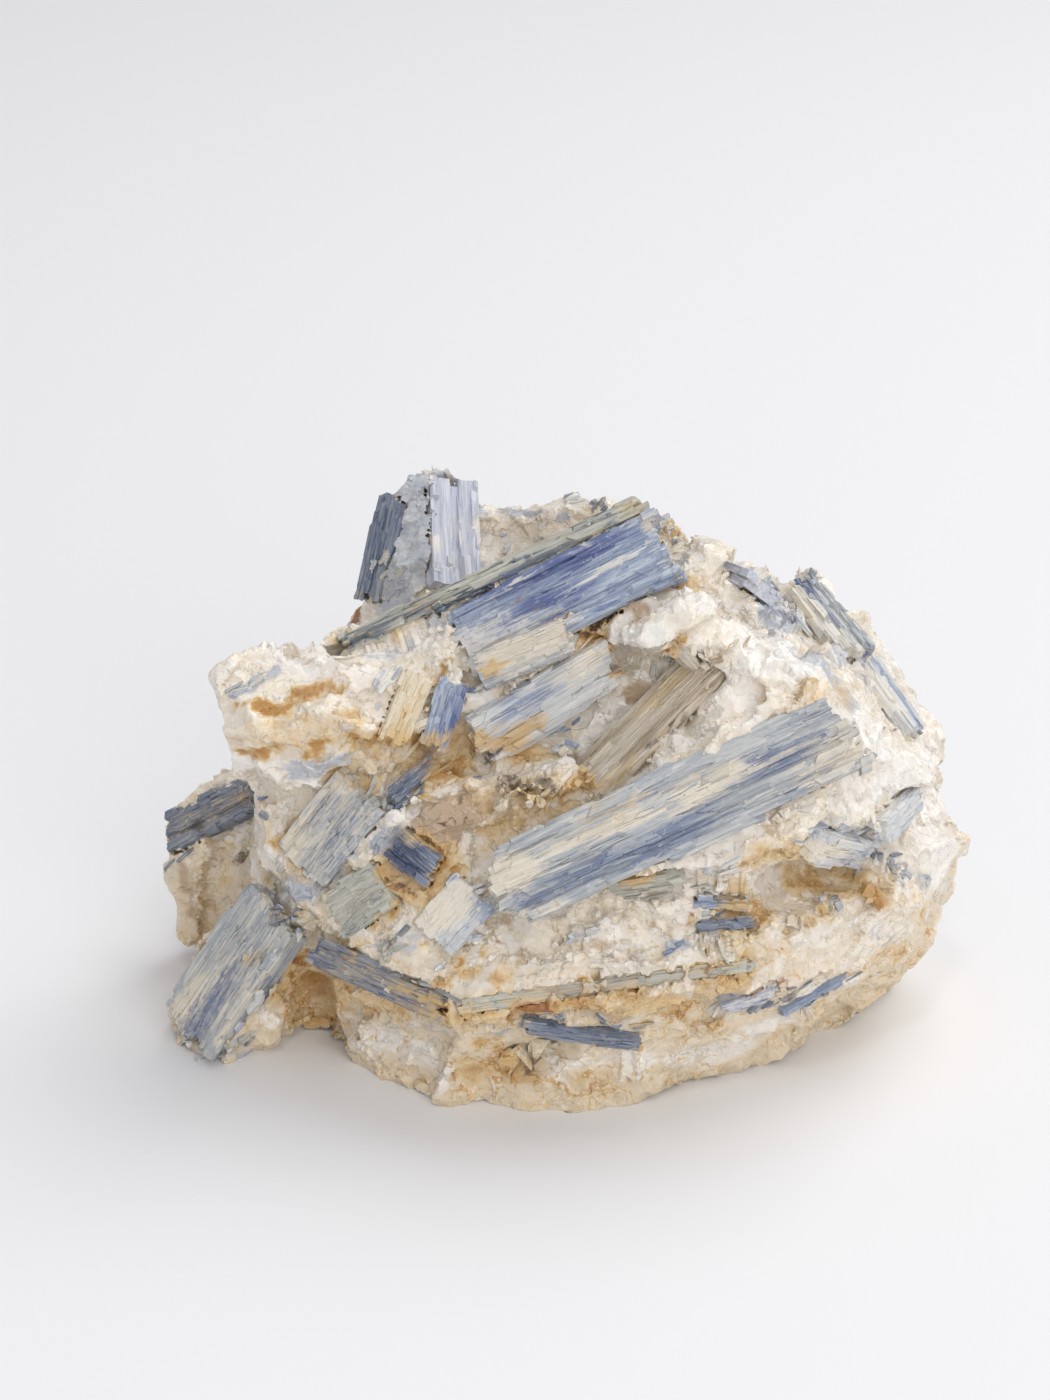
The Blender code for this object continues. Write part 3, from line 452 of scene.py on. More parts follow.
# Thin splinters beside the blades: end marks, width of the bunch, slot, how many
SLIVERS = {
    "seam_upper": ((375, 809), (429, 759), 0.9, "kyanite_dark", 9),
    "seam_lower": ((409, 794), (445, 767), 1.2, "kyanite_dark", 9),
    "seam_rusty": ((430, 788), (455, 773), 0.6, "kyanite_rusty", 4),
    "seam_grey": ((480, 764), (500, 751), 0.8, "kyanite_dark", 5),
    "seam_fibres": ((372, 800), (424, 745), 2.4, "kyanite_rusty", 14),
    "rusty_fibres": ((385, 740), (432, 662), 2.2, "kyanite_rusty", 14),
    "block_fibres": ((345, 735), (395, 665), 2.0, "kyanite_pale", 10),
    "blue_fibres": ((440, 735), (480, 665), 1.4, "kyanite_grey", 10),
    "pale_fibres": ((480, 750), (600, 640), 4.2, "kyanite_pale", 30),
    "pale_low": ((530, 740), (610, 668), 1.2, "kyanite_grey", 10),
    "collar_fibres": ((460, 668), (540, 615), 2.6, "kyanite_grey", 12),
    "pale_under": ((543, 747), (577, 742), 0.7, "kyanite_blue", 4),
    "dark_spot": ((545, 734), (576, 718), 1.2, "kyanite_blue", 7),
    "rim_run": ((340, 643), (470, 596), 0.9, "kyanite_green", 16),
    "rim_dark": ((350, 640), (450, 602), 0.6, "kyanite_dark", 8),
    "rim_low": ((445, 612), (480, 595), 1.2, "kyanite_dark", 7),
    "rim_between": ((450, 600), (625, 513), 1.2, "kyanite_grey", 18),
    "rim_navy": ((430, 607), (560, 542), 0.8, "kyanite_dark", 12),
    "recess_grey": ((598, 690), (612, 664), 1.2, "kyanite_grey", 6),
    "recess_green": ((655, 674), (668, 656), 1.0, "kyanite_green", 5),
    "wall_edge": ((560, 803), (745, 637), 1.0, "kyanite_smoky", 22),
    "wall_back": ((560, 800), (655, 700), 2.6, "kyanite_smoky", 18),
    "violet_top": ((690, 556), (780, 608), 2.2, "kyanite_violet", 14),
    "violet_low": ((716, 590), (790, 616), 0.7, "kyanite_violet", 6),
    "below_violet": ((738, 618), (772, 624), 1.0, "kyanite_grey", 5),
    "fan_teal": ((768, 570), (794, 612), 1.2, "kyanite_grey", 8),
    "fan_blue": ((796, 569), (814, 596), 1.0, "kyanite_blue", 6),
    "fan_upper": ((805, 568), (850, 628), 1.4, "kyanite_grey", 12),
    "fan_mid": ((790, 590), (835, 665), 3.0, "kyanite_pale", 20),
    "fan_broad": ((828, 630), (866, 684), 1.8, "kyanite_violet", 9),
    "fan_low": ((858, 640), (915, 722), 1.6, "kyanite_violet", 12),
    "fan_edge": ((850, 626), (905, 700), 1.0, "kyanite_pale", 8),
    "arc_over": ((800, 838), (862, 838), 1.6, "kyanite_pale", 8),
    "arc_low": ((838, 862), (864, 869), 0.6, "kyanite_blue", 3),
    "right_upper": ((858, 828), (898, 806), 0.9, "kyanite_smoky", 5),
    "right_mid": ((862, 842), (905, 822), 2.0, "kyanite_pale", 12),
    "right_lower": ((872, 857), (904, 846), 1.0, "kyanite_dark", 5),
    "right_specks": ((895, 858), (922, 884), 2.6, "kyanite_grey", 9),
    "hole_grey": ((826, 903), (870, 903), 1.8, "kyanite_grey", 8),
    "crevice_upper": ((680, 883), (732, 870), 1.2, "kyanite_pale", 7),
    "crevice_dark": ((710, 895), (745, 899), 0.8, "kyanite_dark", 5),
    "crevice_leaf": ((691, 910), (728, 910), 1.2, "kyanite_grey", 5),
    "crevice_navy": ((706, 926), (762, 919), 0.8, "kyanite_dark", 6),
    "hem_first": ((738, 1000), (769, 981), 0.7, "kyanite_dark", 4),
    "hem_second": ((770, 990), (790, 982), 0.6, "kyanite_dark", 3),
    "hem_navy": ((756, 1016), (807, 984), 1.2, "kyanite_dark", 14),
    "hem_steel": ((769, 1022), (855, 978), 1.0, "kyanite_dark", 10),
    "hem_pale": ((717, 1012), (740, 1000), 1.0, "kyanite_pale", 4),
    "under_dark": ((545, 1018), (648, 1028), 1.0, "kyanite_dark", 9),
    "under_blue": ((530, 1032), (584, 1040), 0.9, "kyanite_grey", 6),
    "under_right": ((578, 1050), (634, 1038), 1.4, "kyanite_grey", 7),
    "under_left": ((495, 1043), (520, 1036), 1.2, "kyanite_grey", 5),
    "ledge_long": ((470, 1008), (750, 960), 0.8, "kyanite_green", 22),
    "ledge_dark": ((375, 962), (458, 1008), 1.8, "kyanite_dark", 12),
    "ledge_left": ((312, 948), (400, 982), 1.6, "kyanite_dark", 10),
    "ledge_low": ((380, 992), (440, 1010), 1.2, "kyanite_grey", 6),
    "centre_left": ((480, 905), (560, 865), 4.0, "kyanite_pale", 22),
    "centre_right": ((800, 770), (860, 745), 4.0, "kyanite_grey", 12),
    "centre_top": ((600, 812), (690, 772), 0.8, "kyanite_dark", 7),
    "lens": ((612, 900), (715, 882), 1.0, "kyanite_green", 6),
    "stub_chip": ((420, 880), (436, 892), 1.0, "kyanite_dark", 4),
    "stub_left": ((376, 848), (394, 832), 1.4, "kyanite_grey", 5),
    "white_low": ((438, 963), (482, 938), 1.0, "kyanite_pale", 6),
    "green_side": ((384, 950), (425, 918), 2.2, "kyanite_green", 9),
    "green_top": ((330, 925), (384, 872), 2.4, "kyanite_green", 10),
    "plate_fibres": ((270, 890), (372, 768), 5.0, "kyanite_grey", 34),
    "plate_ridge": ((305, 912), (400, 772), 1.2, "kyanite_grey", 16),
    "notch_blue": ((266, 950), (298, 930), 1.2, "kyanite_blue", 6),
    "notch_navy": ((268, 922), (302, 911), 1.6, "kyanite_dark", 8),
    "notch_top": ((274, 908), (303, 899), 0.8, "kyanite_blue", 4),
    "foot_fibres": ((170, 1050), (270, 920), 6.0, "kyanite_grey", 40),
    "foot_pale": ((185, 1060), (290, 945), 4.0, "kyanite_pale", 22),
    "foot_low": ((200, 1062), (250, 1040), 1.6, "kyanite_green", 6),
    "ear_low": ((158, 842), (262, 808), 3.0, "kyanite_dark", 18),
    "ear_grey": ((165, 825), (250, 790), 2.0, "kyanite_grey", 12),
    "block_rim": ((234, 694), (278, 670), 0.8, "kyanite_grey", 7),
    "skirt_chip": ((303, 1042), (312, 1033), 0.8, "kyanite_blue", 3),
    "sugar_chip": ((568, 942), (596, 929), 1.2, "kyanite_pale", 5),
    "sugar_bit": ((662, 951), (685, 944), 0.7, "kyanite_blue", 3),
    "back_rim": ((655, 520), (725, 556), 1.0, "kyanite_green", 8),
}


def seen_at(across, down):
    """The place on the solids that shows at a pixel of the picture, or None."""
    pixel = SENSOR / LENS / PICTURE[1]
    ray = LOOK + UP * (PICTURE[1] / 2 - down) * pixel
    ray.x += (across - PICTURE[0] / 2) * pixel
    return SOLIDS.ray_cast(EYE, ray)[0]


def line_over(marks):
    """Places about 1 mm apart on the solids, along a line drawn from mark to mark."""
    places = []
    for (u, v), (to_u, to_v) in zip(marks, marks[1:]):
        steps = math.ceil(math.hypot(to_u - u, to_v - v) / LINE_STEP)
        for step in range(steps + 1):
            share = step / steps
            places.append(seen_at(u + (to_u - u) * share, v + (to_v - v) * share))
    return np.array([place for place in places if place])


def wandered(points):
    """The points moved about 0.6 mm, so that strokes seen from them have uneven edges."""
    return points + np.array([sum((far * noise.noise_vector(Vector(point) / length)
                                   for far, length in WANDERS), Vector())
                              for point in points])


def strength_at(points, strokes):
    """How strongly the strokes reach each point: 1 on them, fading to 0 beside them."""
    total = np.zeros(len(points))
    for places, width, strength in strokes:
        box = ((points > places.min(0) - width * FADED)
               & (points < places.max(0) + width * FADED)).all(1)
        near = points[box]
        away = np.full(len(near), np.inf)
        for place in places:
            away = np.minimum(away, ((near - place) ** 2).sum(1))
        reach = strength * np.clip(FADED - np.sqrt(away) / width, 0, 1)
        total[box] = np.maximum(total[box], reach)
    return total


# ---------------------------------------------------------------- making meshes

def only(thing):
    """Makes this the one selected and active object."""
    if bpy.context.object and bpy.context.object.mode != "OBJECT":
        bpy.ops.object.mode_set(mode="OBJECT")
    bpy.ops.object.select_all(action="DESELECT")
    thing.select_set(True)
    bpy.context.view_layer.objects.active = thing
    return thing


@contextmanager
def edited(thing):
    """Edit mode on this object alone, with all of its mesh selected."""
    only(thing)
    bpy.ops.object.mode_set(mode="EDIT")
    bpy.ops.mesh.select_all(action="SELECT")
    yield
    bpy.ops.object.mode_set(mode="OBJECT")


def joined(things):
    """All of them as one object, the first."""
    only(things[0])
    for thing in things:
        thing.select_set(True)
    bpy.ops.object.join()
    return things[0]


def finished_with(thing, kind, **settings):
    """Adds a modifier and applies it."""
    modifier = only(thing).modifiers.new(kind.lower(), kind)
    for name, value in settings.items():
        setattr(modifier, name, value)
    bpy.ops.object.modifier_apply(modifier=modifier.name)
    return thing


def added(name, data):
    """A new object in the scene, made of this mesh, light or camera."""
    thing = bpy.data.objects.new(name, data)
    bpy.context.scene.collection.objects.link(thing)
    return thing


def cad_copy(solid, name):
    """A merged copy of a solid, free of the frame."""
    thing = added(name, frame["nodes"][solid].data.copy())
    with edited(thing):
        bpy.ops.mesh.remove_doubles(threshold=0.000002)
    thing.data.materials.clear()
    return thing


def points_of(mesh):
    """The mesh's points in mm, one row each."""
    co = np.empty(len(mesh.vertices) * 3)
    mesh.vertices.foreach_get("co", co)
    return co.reshape(-1, 3) / MM


def normals_of(mesh):
    out = np.empty(len(mesh.vertices) * 3)
    mesh.vertices.foreach_get("normal", out)
    return out.reshape(-1, 3)


def faces_of(mesh):
    return [list(face.vertices) for face in mesh.polygons]


def put_points(mesh, points):
    mesh.vertices.foreach_set("co", (points * MM).ravel())
    mesh.update()


def standing(piece):
    """The piece with nothing of it lower than the floor."""
    points = points_of(piece.data)
    points[:, 2] = np.maximum(points[:, 2], 0)
    put_points(piece.data, points)
    return piece


def number_layer(mesh, name, values):
    mesh.attributes.new(name, "FLOAT", "POINT").data.foreach_set("value", values)


def vector_layer(mesh, name, values):
    mesh.attributes.new(name, "FLOAT_VECTOR", "POINT").data.foreach_set(
        "vector", values.ravel())


def tree_of(points):
    tree = KDTree(len(points))
    for index, point in enumerate(points):
        tree.insert(point, index)
    tree.balance()
    return tree


def unit(rows):
    return rows / np.linalg.norm(rows, axis=-1, keepdims=True)


def shape_of(thing):
    """The points and faces of a small model, which is then removed."""
    points = np.array([vert.co for vert in thing.data.vertices])
    faces = faces_of(thing.data)
    bpy.data.objects.remove(thing)
    return points, faces


def laid(shapes, copies, name):
    """One mesh with a copy of a shape at each (kind, middle, axes, size in mm).

    Also gives each point's place in its own copy, and how many points each copy has."""
    points, own, faces, counts, start = [], [], [], [], 0
    for kind, middle, axes, size in copies:
        corners, sides = shapes[kind]
        own.append(corners * size)
        points.append(own[-1] @ axes.T + middle)
        faces.extend([[start + corner for corner in side] for side in sides])
        counts.append(len(corners))
        start += len(corners)
    mesh = bpy.data.meshes.new(name)
    mesh.from_pydata((np.concatenate(points) * MM).tolist(), [], faces)
    return added(name, mesh), np.concatenate(own), np.array(counts)


def split(place, out):
    """Takes away what lies outside a flat face, in edit mode."""
    bpy.ops.mesh.select_all(action="SELECT")
    bpy.ops.mesh.bisect(plane_co=place, plane_no=out, use_fill=True, clear_outer=True)


def chip(dice, subdivisions, splits, deepest=0.5):
    """A quartz chip: a ball split along random flat faces."""
    bpy.ops.object.select_all(action="DESELECT")
    bpy.ops.mesh.primitive_ico_sphere_add(subdivisions=subdivisions, radius=1)
    ball = bpy.context.object
    with edited(ball):
        for _ in range(splits):
            out = Vector([dice.gauss(0, 1) for _ in range(3)]).normalized()
            split(out * dice.uniform(deepest, 0.8), out)
    return shape_of(ball)


def lamella(dice):
    """A split lamella 1 long, 1 wide and 1 thick: slanting broken ends, chipped long edges."""
    bpy.ops.object.select_all(action="DESELECT")
    bpy.ops.mesh.primitive_cube_add(size=1)
    plate = bpy.context.object
    ends = [(end * dice.uniform(0.3, 0.46), (end, dice.uniform(-0.5, 0.5), dice.uniform(0, 0.2)))
            for end in (-1, -1, 1, 1)]
    with edited(plate):
        for place, out in ends:
            split((place, dice.uniform(-0.3, 0.3), 0), out)
        for side in (-1, 1):
            split((0, side * dice.uniform(0.36, 0.46), 0.5),
                  (dice.uniform(-0.05, 0.05), side, dice.uniform(0.4, 1)))
    return shape_of(plate)


def spread_over(mesh, count, dice, weight=None):
    """Random places on the surface and the way out there; weight(points) says how densely."""
    mesh.calc_loop_triangles()
    corners = np.empty(len(mesh.loop_triangles) * 3, int)
    mesh.loop_triangles.foreach_get("vertices", corners)
    a, b, c = points_of(mesh)[corners.reshape(-1, 3)].transpose(1, 0, 2)
    across = np.cross(b - a, c - a)
    area = np.linalg.norm(across, axis=1)
    odds = area * (weight((a + b + c) / 3) if weight else 1)
    picked = dice.choice(len(area), count, p=odds / odds.sum())
    u, v = dice.random(count), dice.random(count)
    over = u + v > 1
    u[over], v[over] = 1 - u[over], 1 - v[over]
    points = a[picked] + (b - a)[picked] * u[:, None] + (c - a)[picked] * v[:, None]
    return points, across[picked] / area[picked][:, None]


def axes_along(along, out):
    """Turn whose columns are along, across and out, square to each other."""
    out = unit(out)
    along = along - out * (along @ out)
    along = unit(along)
    return np.stack([along, np.cross(out, along), out], axis=1)


def surface_of(things):
    """A search tree of these things' faces, in mm."""
    points, faces = [], []
    for thing in things:
        start = len(points)
        points.extend(points_of(thing.data).tolist())
        faces.extend([[start + corner for corner in face] for face in faces_of(thing.data)])
    return BVHTree.FromPolygons(points, faces)


def solid_surface(names):
    return surface_of([frame["nodes"][name] for name in names])


SOLIDS = solid_surface(frame["nodes"])


def shows(place):
    """Whether the camera sees this place on the solids."""
    return (SOLIDS.ray_cast(EYE, Vector(place) - EYE)[0] - Vector(place)).length < 0.4


def frame_of(blade):
    """The blade's turn (columns: along, across, out of its face), and its box in it, in mm."""
    mesh = frame["nodes"][blade].data
    points = points_of(mesh)
    middle = points.mean(0)
    along = np.linalg.svd(points - middle, full_matrices=False)[2][0]
    area = np.empty(len(mesh.polygons))
    mesh.polygons.foreach_get("area", area)
    normal = np.empty(len(mesh.polygons) * 3)
    mesh.polygons.foreach_get("normal", normal)
    flat = normal.reshape(-1, 3)
    flat = flat - np.outer(flat @ along, along)
    spread = (flat * area[:, None]).T @ flat
    out = np.linalg.eigh(spread)[1][:, 2]
    if out @ (middle - MIDDLE) < 0:
        out = -out
    half_thick = np.ptp(points @ out) / 2
    if shows(middle - out * half_thick) and not shows(middle + out * half_thick):
        out = -out
    turn = axes_along(along, out)
    local = points @ turn
    return turn, local.min(0), local.max(0)


FRAMES = {name: frame_of(name) for name in frame["nodes"] if name != "quartz_matrix"}
SLOTS = {part["node"]: part["material_slot"] for part in frame["record"]["subparts"]}
BLADES = solid_surface(FRAMES)
# The width of the blade that each face of the tree belongs to
BLADE_WIDTHS = [high[1] - low[1] for name, (_, low, high) in FRAMES.items()
                for _ in frame["nodes"][name].data.polygons]
QUARTZ = solid_surface(["quartz_matrix"])


def spots_behind(count, dice, widest):
    """Strokes over the sides that the camera doesn't see, each a few mm along the foliation."""
    places, outs = spread_over(frame["nodes"]["quartz_matrix"].data, count * 3, dice)
    hidden = outs @ np.array(LOOK) > 0.1
    strokes = []
    for place, out in list(zip(places[hidden], outs[hidden]))[:count]:
        along = axes_along(FOLIATION, out)[:, 0] * dice.uniform(0.5, 5)
        strokes.append((np.array([place + along * share for share in (-1, -0.5, 0, 0.5, 1)]),
                        dice.uniform(0.4, 1) * widest, dice.uniform(0.5, 1.05)))
    return strokes


def strokes_of(table, behind, widest, seed):
    """The table's strokes, and this many more behind, as (places, width, strength)."""
    drawn = [(line_over(marks), width, strength) for marks, width, strength in table.values()]
    drawn = [stroke for stroke in drawn if len(stroke[0])]
    return drawn + spots_behind(behind, np.random.default_rng(seed), widest)


# Stains on the quartz; the dirt strokes also carry painted shade, and the white strokes painted
# light
STAINS = {
    "ochre": strokes_of(OCHRE, 64, 2.3, 1),
    "rust": strokes_of(RUST, 35, 1.0, 2),
    "dirt_and_shade": strokes_of(DIRT_AND_SHADE, 45, 1.3, 3),
    "tan": strokes_of(TAN, 16, 1.5, 4),
    "blue": strokes_of(BLUE, 60, 2.4, 5),
    "white": strokes_of(WHITE_AND_LIT, 30, 3.2, 6),
}
BLADE_SHADES = {
    "deep": strokes_of(DEEP, 20, 1.5, 7),
    "cream": strokes_of(CREAM, 24, 1.8, 8),
    "ochre": STAINS["ochre"],
    "rust": STAINS["rust"],
    "dirt_and_shade": STAINS["dirt_and_shade"],
}


# ---------------------------------------------------------------- quartz

def smoothed(values, edges, steps):
    """Values moved by each of the steps towards (or from) their neighbours' average."""
    count = np.bincount(edges.ravel(), minlength=len(values))[:, None]
    for step in steps:
        total = np.zeros_like(values)
        for axis in range(values.shape[1]):
            total[:, axis] = np.bincount(edges[:, 0], values[edges[:, 1], axis], len(values))
            total[:, axis] += np.bincount(edges[:, 1], values[edges[:, 0], axis], len(values))
        values = values + step * (total / np.maximum(count, 1) - values)
    return values


def edges_of(mesh):
    edges = np.empty(len(mesh.edges) * 2, int)
    mesh.edges.foreach_get("vertices", edges)
    return edges.reshape(-1, 2)


def with_broken_faces(mesh, size, tilt, dice):
    """Moves the crust's points onto slightly scooped, tilted faces about size mm across.

    A point goes to the lowest of its nearest faces, so that faces meet in sharp ridges."""
    points, outs = points_of(mesh), normals_of(mesh)
    area = sum(face.area for face in mesh.polygons) / MM ** 2
    seeds, ways = spread_over(mesh, int(area / size ** 2), dice)
    ways = unit(ways + tilt * dice.normal(size=ways.shape))
    tree = tree_of(seeds)
    found = [tree.find_n(point, 5) for point in points]
    nearest = np.array([[one[1] for one in five] for five in found])
    away = np.array([[one[2] for one in five] for five in found])
    drop = ((seeds[nearest] - points[:, None]) * ways[nearest]).sum(2)
    slope = np.maximum((outs[:, None] * ways[nearest]).sum(2), 0.5)
    level = (drop / slope + SCOOP * away ** 2 / size).min(1)
    level = np.clip(level, -RELIEF * size, RELIEF * size)
    put_points(mesh, points + outs * level[:, None])
    return tree, dice.random(len(seeds))


def clear_of_blades(points, wander):
    """Points that would cover a blade's face, put back under it but for an uneven rim.

    Wander says how wide the rim is at each point, from 0 to 1."""
    rim = 0.3 + 0.6 * wander
    for turn, low, high in FRAMES.values():
        local = points @ turn
        thin = high[1] - low[1] < NARROW
        side = -0.15 if thin else 0.6 * rim
        cut = 2 * FACE_CUT if thin else FACE_CUT
        over = ((local[:, 0] > low[0] + rim) & (local[:, 0] < high[0] - rim)
                & (local[:, 1] > low[1] + side) & (local[:, 1] < high[1] - side)
                & (local[:, 2] > high[2] - cut) & (local[:, 2] < high[2] + 3.0))
        # Quartz that the solid has over the blade stays
        over[over] = [QUARTZ.find_nearest(point)[3] > 0.5 for point in points[over]]
        local[over, 2] = high[2] - cut
        points[over] = local[over] @ turn.T
    return points


def behind_blades(points):
    """Points that hide a blade which the solids leave in sight, put back behind its face.

    Here and there a scrap of quartz stays on it."""
    for index, point in enumerate(points):
        sight = Vector(point) - EYE
        far = sight.length
        place, _, face, away = BLADES.ray_cast(EYE, sight)
        if place is None or not far - BEHIND < away < far + THICKEST_COVER:
            continue
        scraps = 0.27 if BLADE_WIDTHS[face] > NARROW else 0.6
        if SOLIDS.ray_cast(EYE, sight)[3] < away - 0.05 or noise.noise(place / 1.4) > scraps:
            continue
        rim = (0.42 + 0.9 * noise.noise(place / 1.3)) * min(1, BLADE_WIDTHS[face] / 5)
        if QUARTZ.find_nearest(place)[3] < rim:
            continue
        points[index] = place + sight * (BEHIND / far)
    return points


def without_crumbs(thing):
    """Deletes every loose piece but the one that stands on the ground's middle."""
    base = int(np.argmin(np.linalg.norm(points_of(thing.data), axis=1)))
    with edited(thing):
        bpy.ops.mesh.select_all(action="DESELECT")
        bpy.ops.object.mode_set(mode="OBJECT")
        thing.data.vertices[base].select = True
        bpy.ops.object.mode_set(mode="EDIT")
        bpy.ops.mesh.select_mode(type="VERT")
        bpy.ops.mesh.select_linked()
        bpy.ops.mesh.select_all(action="INVERT")
        bpy.ops.mesh.delete(type="VERT")
    return thing


def quartz_lump():
    """The solid lump with its sockets closed under the blades, evened out."""
    cores = [cad_copy("quartz_matrix", "lump")]
    for name, (turn, low, high) in FRAMES.items():
        core = cad_copy(name, "core")
        middle = turn @ ((low + high) / 2)
        put_points(core.data, middle + (points_of(core.data) - middle) * 0.94
                   - turn[:, 2] * 0.3)
        cores.append(core)
    shaper = random.Random(5)
    shapes = [chip(shaper, 2, 9) for _ in range(6)]
    nodules = [(index % len(shapes),
                np.array(seen_at(*mark)) + np.array(LOOK) * (radius * 0.3 - nearer),
                np.eye(3), np.full(3, radius))
               for index, (mark, radius, nearer) in enumerate(NODULES.values())]
    cores.append(laid(shapes, nodules, "nodules")[0])
    lump = joined(cores)
    finished_with(lump, "REMESH", mode="VOXEL", voxel_size=SOCKET_FILL * MM)

    points = points_of(lump.data)
    # A step back after each step on keeps the lump from shrinking
    evened = smoothed(points, edges_of(lump.data), [0.6, -0.45] * EVENING)
    evened[:, 2] = np.where(points[:, 2] < 0.5, points[:, 2], evened[:, 2])
    put_points(lump.data, evened)
    finished_with(lump, "REMESH", mode="VOXEL", voxel_size=QUARTZ_VOXEL * MM)
    finished_with(lump, "SMOOTH", factor=0.5, iterations=4)
    return without_crumbs(lump)


def mended(piece):
    """The piece without the points where its surface touches itself: they are taken out and
    their holes filled."""
    with edited(piece):
        bpy.ops.mesh.select_mode(type="VERT")
        for _ in range(MENDING):
            bpy.ops.mesh.select_all(action="DESELECT")
            bpy.ops.mesh.select_non_manifold()
            bpy.ops.mesh.delete(type="VERT")
            bpy.ops.mesh.select_all(action="SELECT")
            bpy.ops.mesh.fill_holes(sides=0)
        bpy.ops.mesh.select_all(action="SELECT")
        bpy.ops.mesh.quads_convert_to_tris()
    return piece


def half_of(lump, name, low, high, triangles):
    """The lump's part from y = low to y = high, closed where it is cut, with this many
    triangles."""
    bpy.ops.object.select_all(action="DESELECT")
    bpy.ops.mesh.primitive_cube_add(size=1)
    cutter = bpy.context.object
    points = points_of(cutter.data) * MM * 2 * CUTTER
    points[:, 1] = np.where(points[:, 1] > 0, high, low)
    put_points(cutter.data, points)
    half = added(name, lump.data.copy())
    finished_with(half, "BOOLEAN", object=cutter, operation="INTERSECT", solver="MANIFOLD")
    bpy.data.objects.remove(cutter)
    half.data.materials.clear()  # the cutter's empty slot
    with edited(half):
        bpy.ops.mesh.quads_convert_to_tris()
    ratio = triangles / len(half.data.polygons)
    if ratio < 1:
        finished_with(half, "DECIMATE", ratio=ratio)
    return mended(half)


def stain(mesh, points, tone):
    """Gives quartz the layers that its material reads."""
    number_layer(mesh, "tone", tone)
    points = wandered(points)
    for name, strokes in STAINS.items():
        number_layer(mesh, name, strength_at(points, strokes))


def quartz_crust():
    """The front and back crust: flat broken faces, hollows, and rims over the blades."""
    lump = quartz_lump()
    dice = np.random.default_rng(3)
    toned = [with_broken_faces(lump.data, *kind, dice) for kind in BROKEN_FACES]
    points = points_of(lump.data)
    outs = normals_of(lump.data)
    for marks, width, depth in HOLLOWS.values():
        reach = strength_at(points, [(line_over(marks), width, 1.0)])
        points -= outs * (reach * depth)[:, None]
    # Rims wide and narrow by turns, every 3 mm or so
    wander = 0.5 + 0.5 * np.sin(points[:, 0] * 2.3 + np.sin(points[:, 2] * 1.9) * 2
                                + points[:, 1] * 1.3)
    points = behind_blades(clear_of_blades(points, wander))
    points[:, 2] = np.maximum(points[:, 2], 0)
    put_points(lump.data, points)

    halves = [half_of(lump, "quartz_front", -CUTTER, SPLIT + OVERLAP, FRONT_TRIANGLES),
              half_of(lump, "quartz_back", SPLIT - OVERLAP, CUTTER, BACK_TRIANGLES)]
    bpy.data.objects.remove(lump)
    for half in halves:
        points = points_of(half.data)
        tone = sum(share * values[[tree.find(point)[1] for point in points]]
                   for share, (tree, values) in zip(TONE_SHARES, toned))
        stain(half.data, points, tone)
        # How sunk each point lies and how near a blade: the material paints shade into hollows
        # and along blades with these
        level = smoothed(points, edges_of(half.data), [0.5] * 30)
        sunk = ((level - points) * normals_of(half.data)).sum(1)
        near = np.array([BLADES.find_nearest(point, CONTACT)[3] or CONTACT for point in points])
        number_layer(half.data, "hollow", np.clip(sunk / HOLLOW, 0, 1))
        number_layer(half.data, "contact", np.clip(1 - near / CONTACT, 0, 1))
    return halves


def sugar_grains(crusts):
    """Loose grains half sunk in the crust, thickest where the quartz is sugary."""
    dice = np.random.default_rng(21)
    shaper = random.Random(8)
    shapes = [chip(shaper, 1, 9, 0.35) for _ in range(8)]
    sugary = strokes_of(SUGAR, 0, 1, 9)
    copies, tones = [], []
    for crust, most in zip(crusts, (SUGAR_GRAINS, SUGAR_GRAINS * 1.35)):
        spots, outs = spread_over(crust.data, SUGAR_GRAINS * 3, dice,
                                  lambda at: 0.06 + strength_at(at, sugary))
        for spot, out in zip(spots, outs):
            radius = dice.uniform(*GRAIN_RADII)
            if len(copies) >= most or spot[2] < 1.0 or BLADES.find_nearest(spot)[3] < radius:
                continue
            axes = axes_along(dice.normal(size=3), dice.normal(size=3))
            copies.append((int(dice.integers(len(shapes))), spot - out * radius * 0.6, axes,
                           radius * dice.uniform(0.75, 1.2, 3)))
            tones.append(dice.random())
    grains, _, counts = laid(shapes, copies, "quartz_grains")
    middles = np.array([middle for _, middle, _, _ in copies])
    stain(grains.data, np.repeat(middles, counts, axis=0), np.repeat(tones, counts))
    for name in ("hollow", "contact"):
        number_layer(grains.data, name, np.zeros(counts.sum()))
    return grains


# ---------------------------------------------------------------- kyanite

def shade(mesh, counts, grain, tones, extra_cream):
    """Gives lamellae the layers that their material reads."""
    points = wandered(points_of(mesh))
    for name, strokes in BLADE_SHADES.items():
        values = strength_at(points, strokes)
        if name == "cream":
            values = np.maximum(values, np.repeat(extra_cream, counts))
        number_layer(mesh, name, values)
    number_layer(mesh, "tone", np.repeat(tones, counts))
    vector_layer(mesh, "grain", grain)


def held(surface, spot, along, length, reach):
    """The length at which both ends of a lamella still lie on the surface."""
    for _ in range(4):
        ends = [spot + along * length * side / 2 for side in (-1, 1)]
        if all(surface.find_nearest(end)[3] < reach for end in ends):
            break
        length *= 0.65
    return length


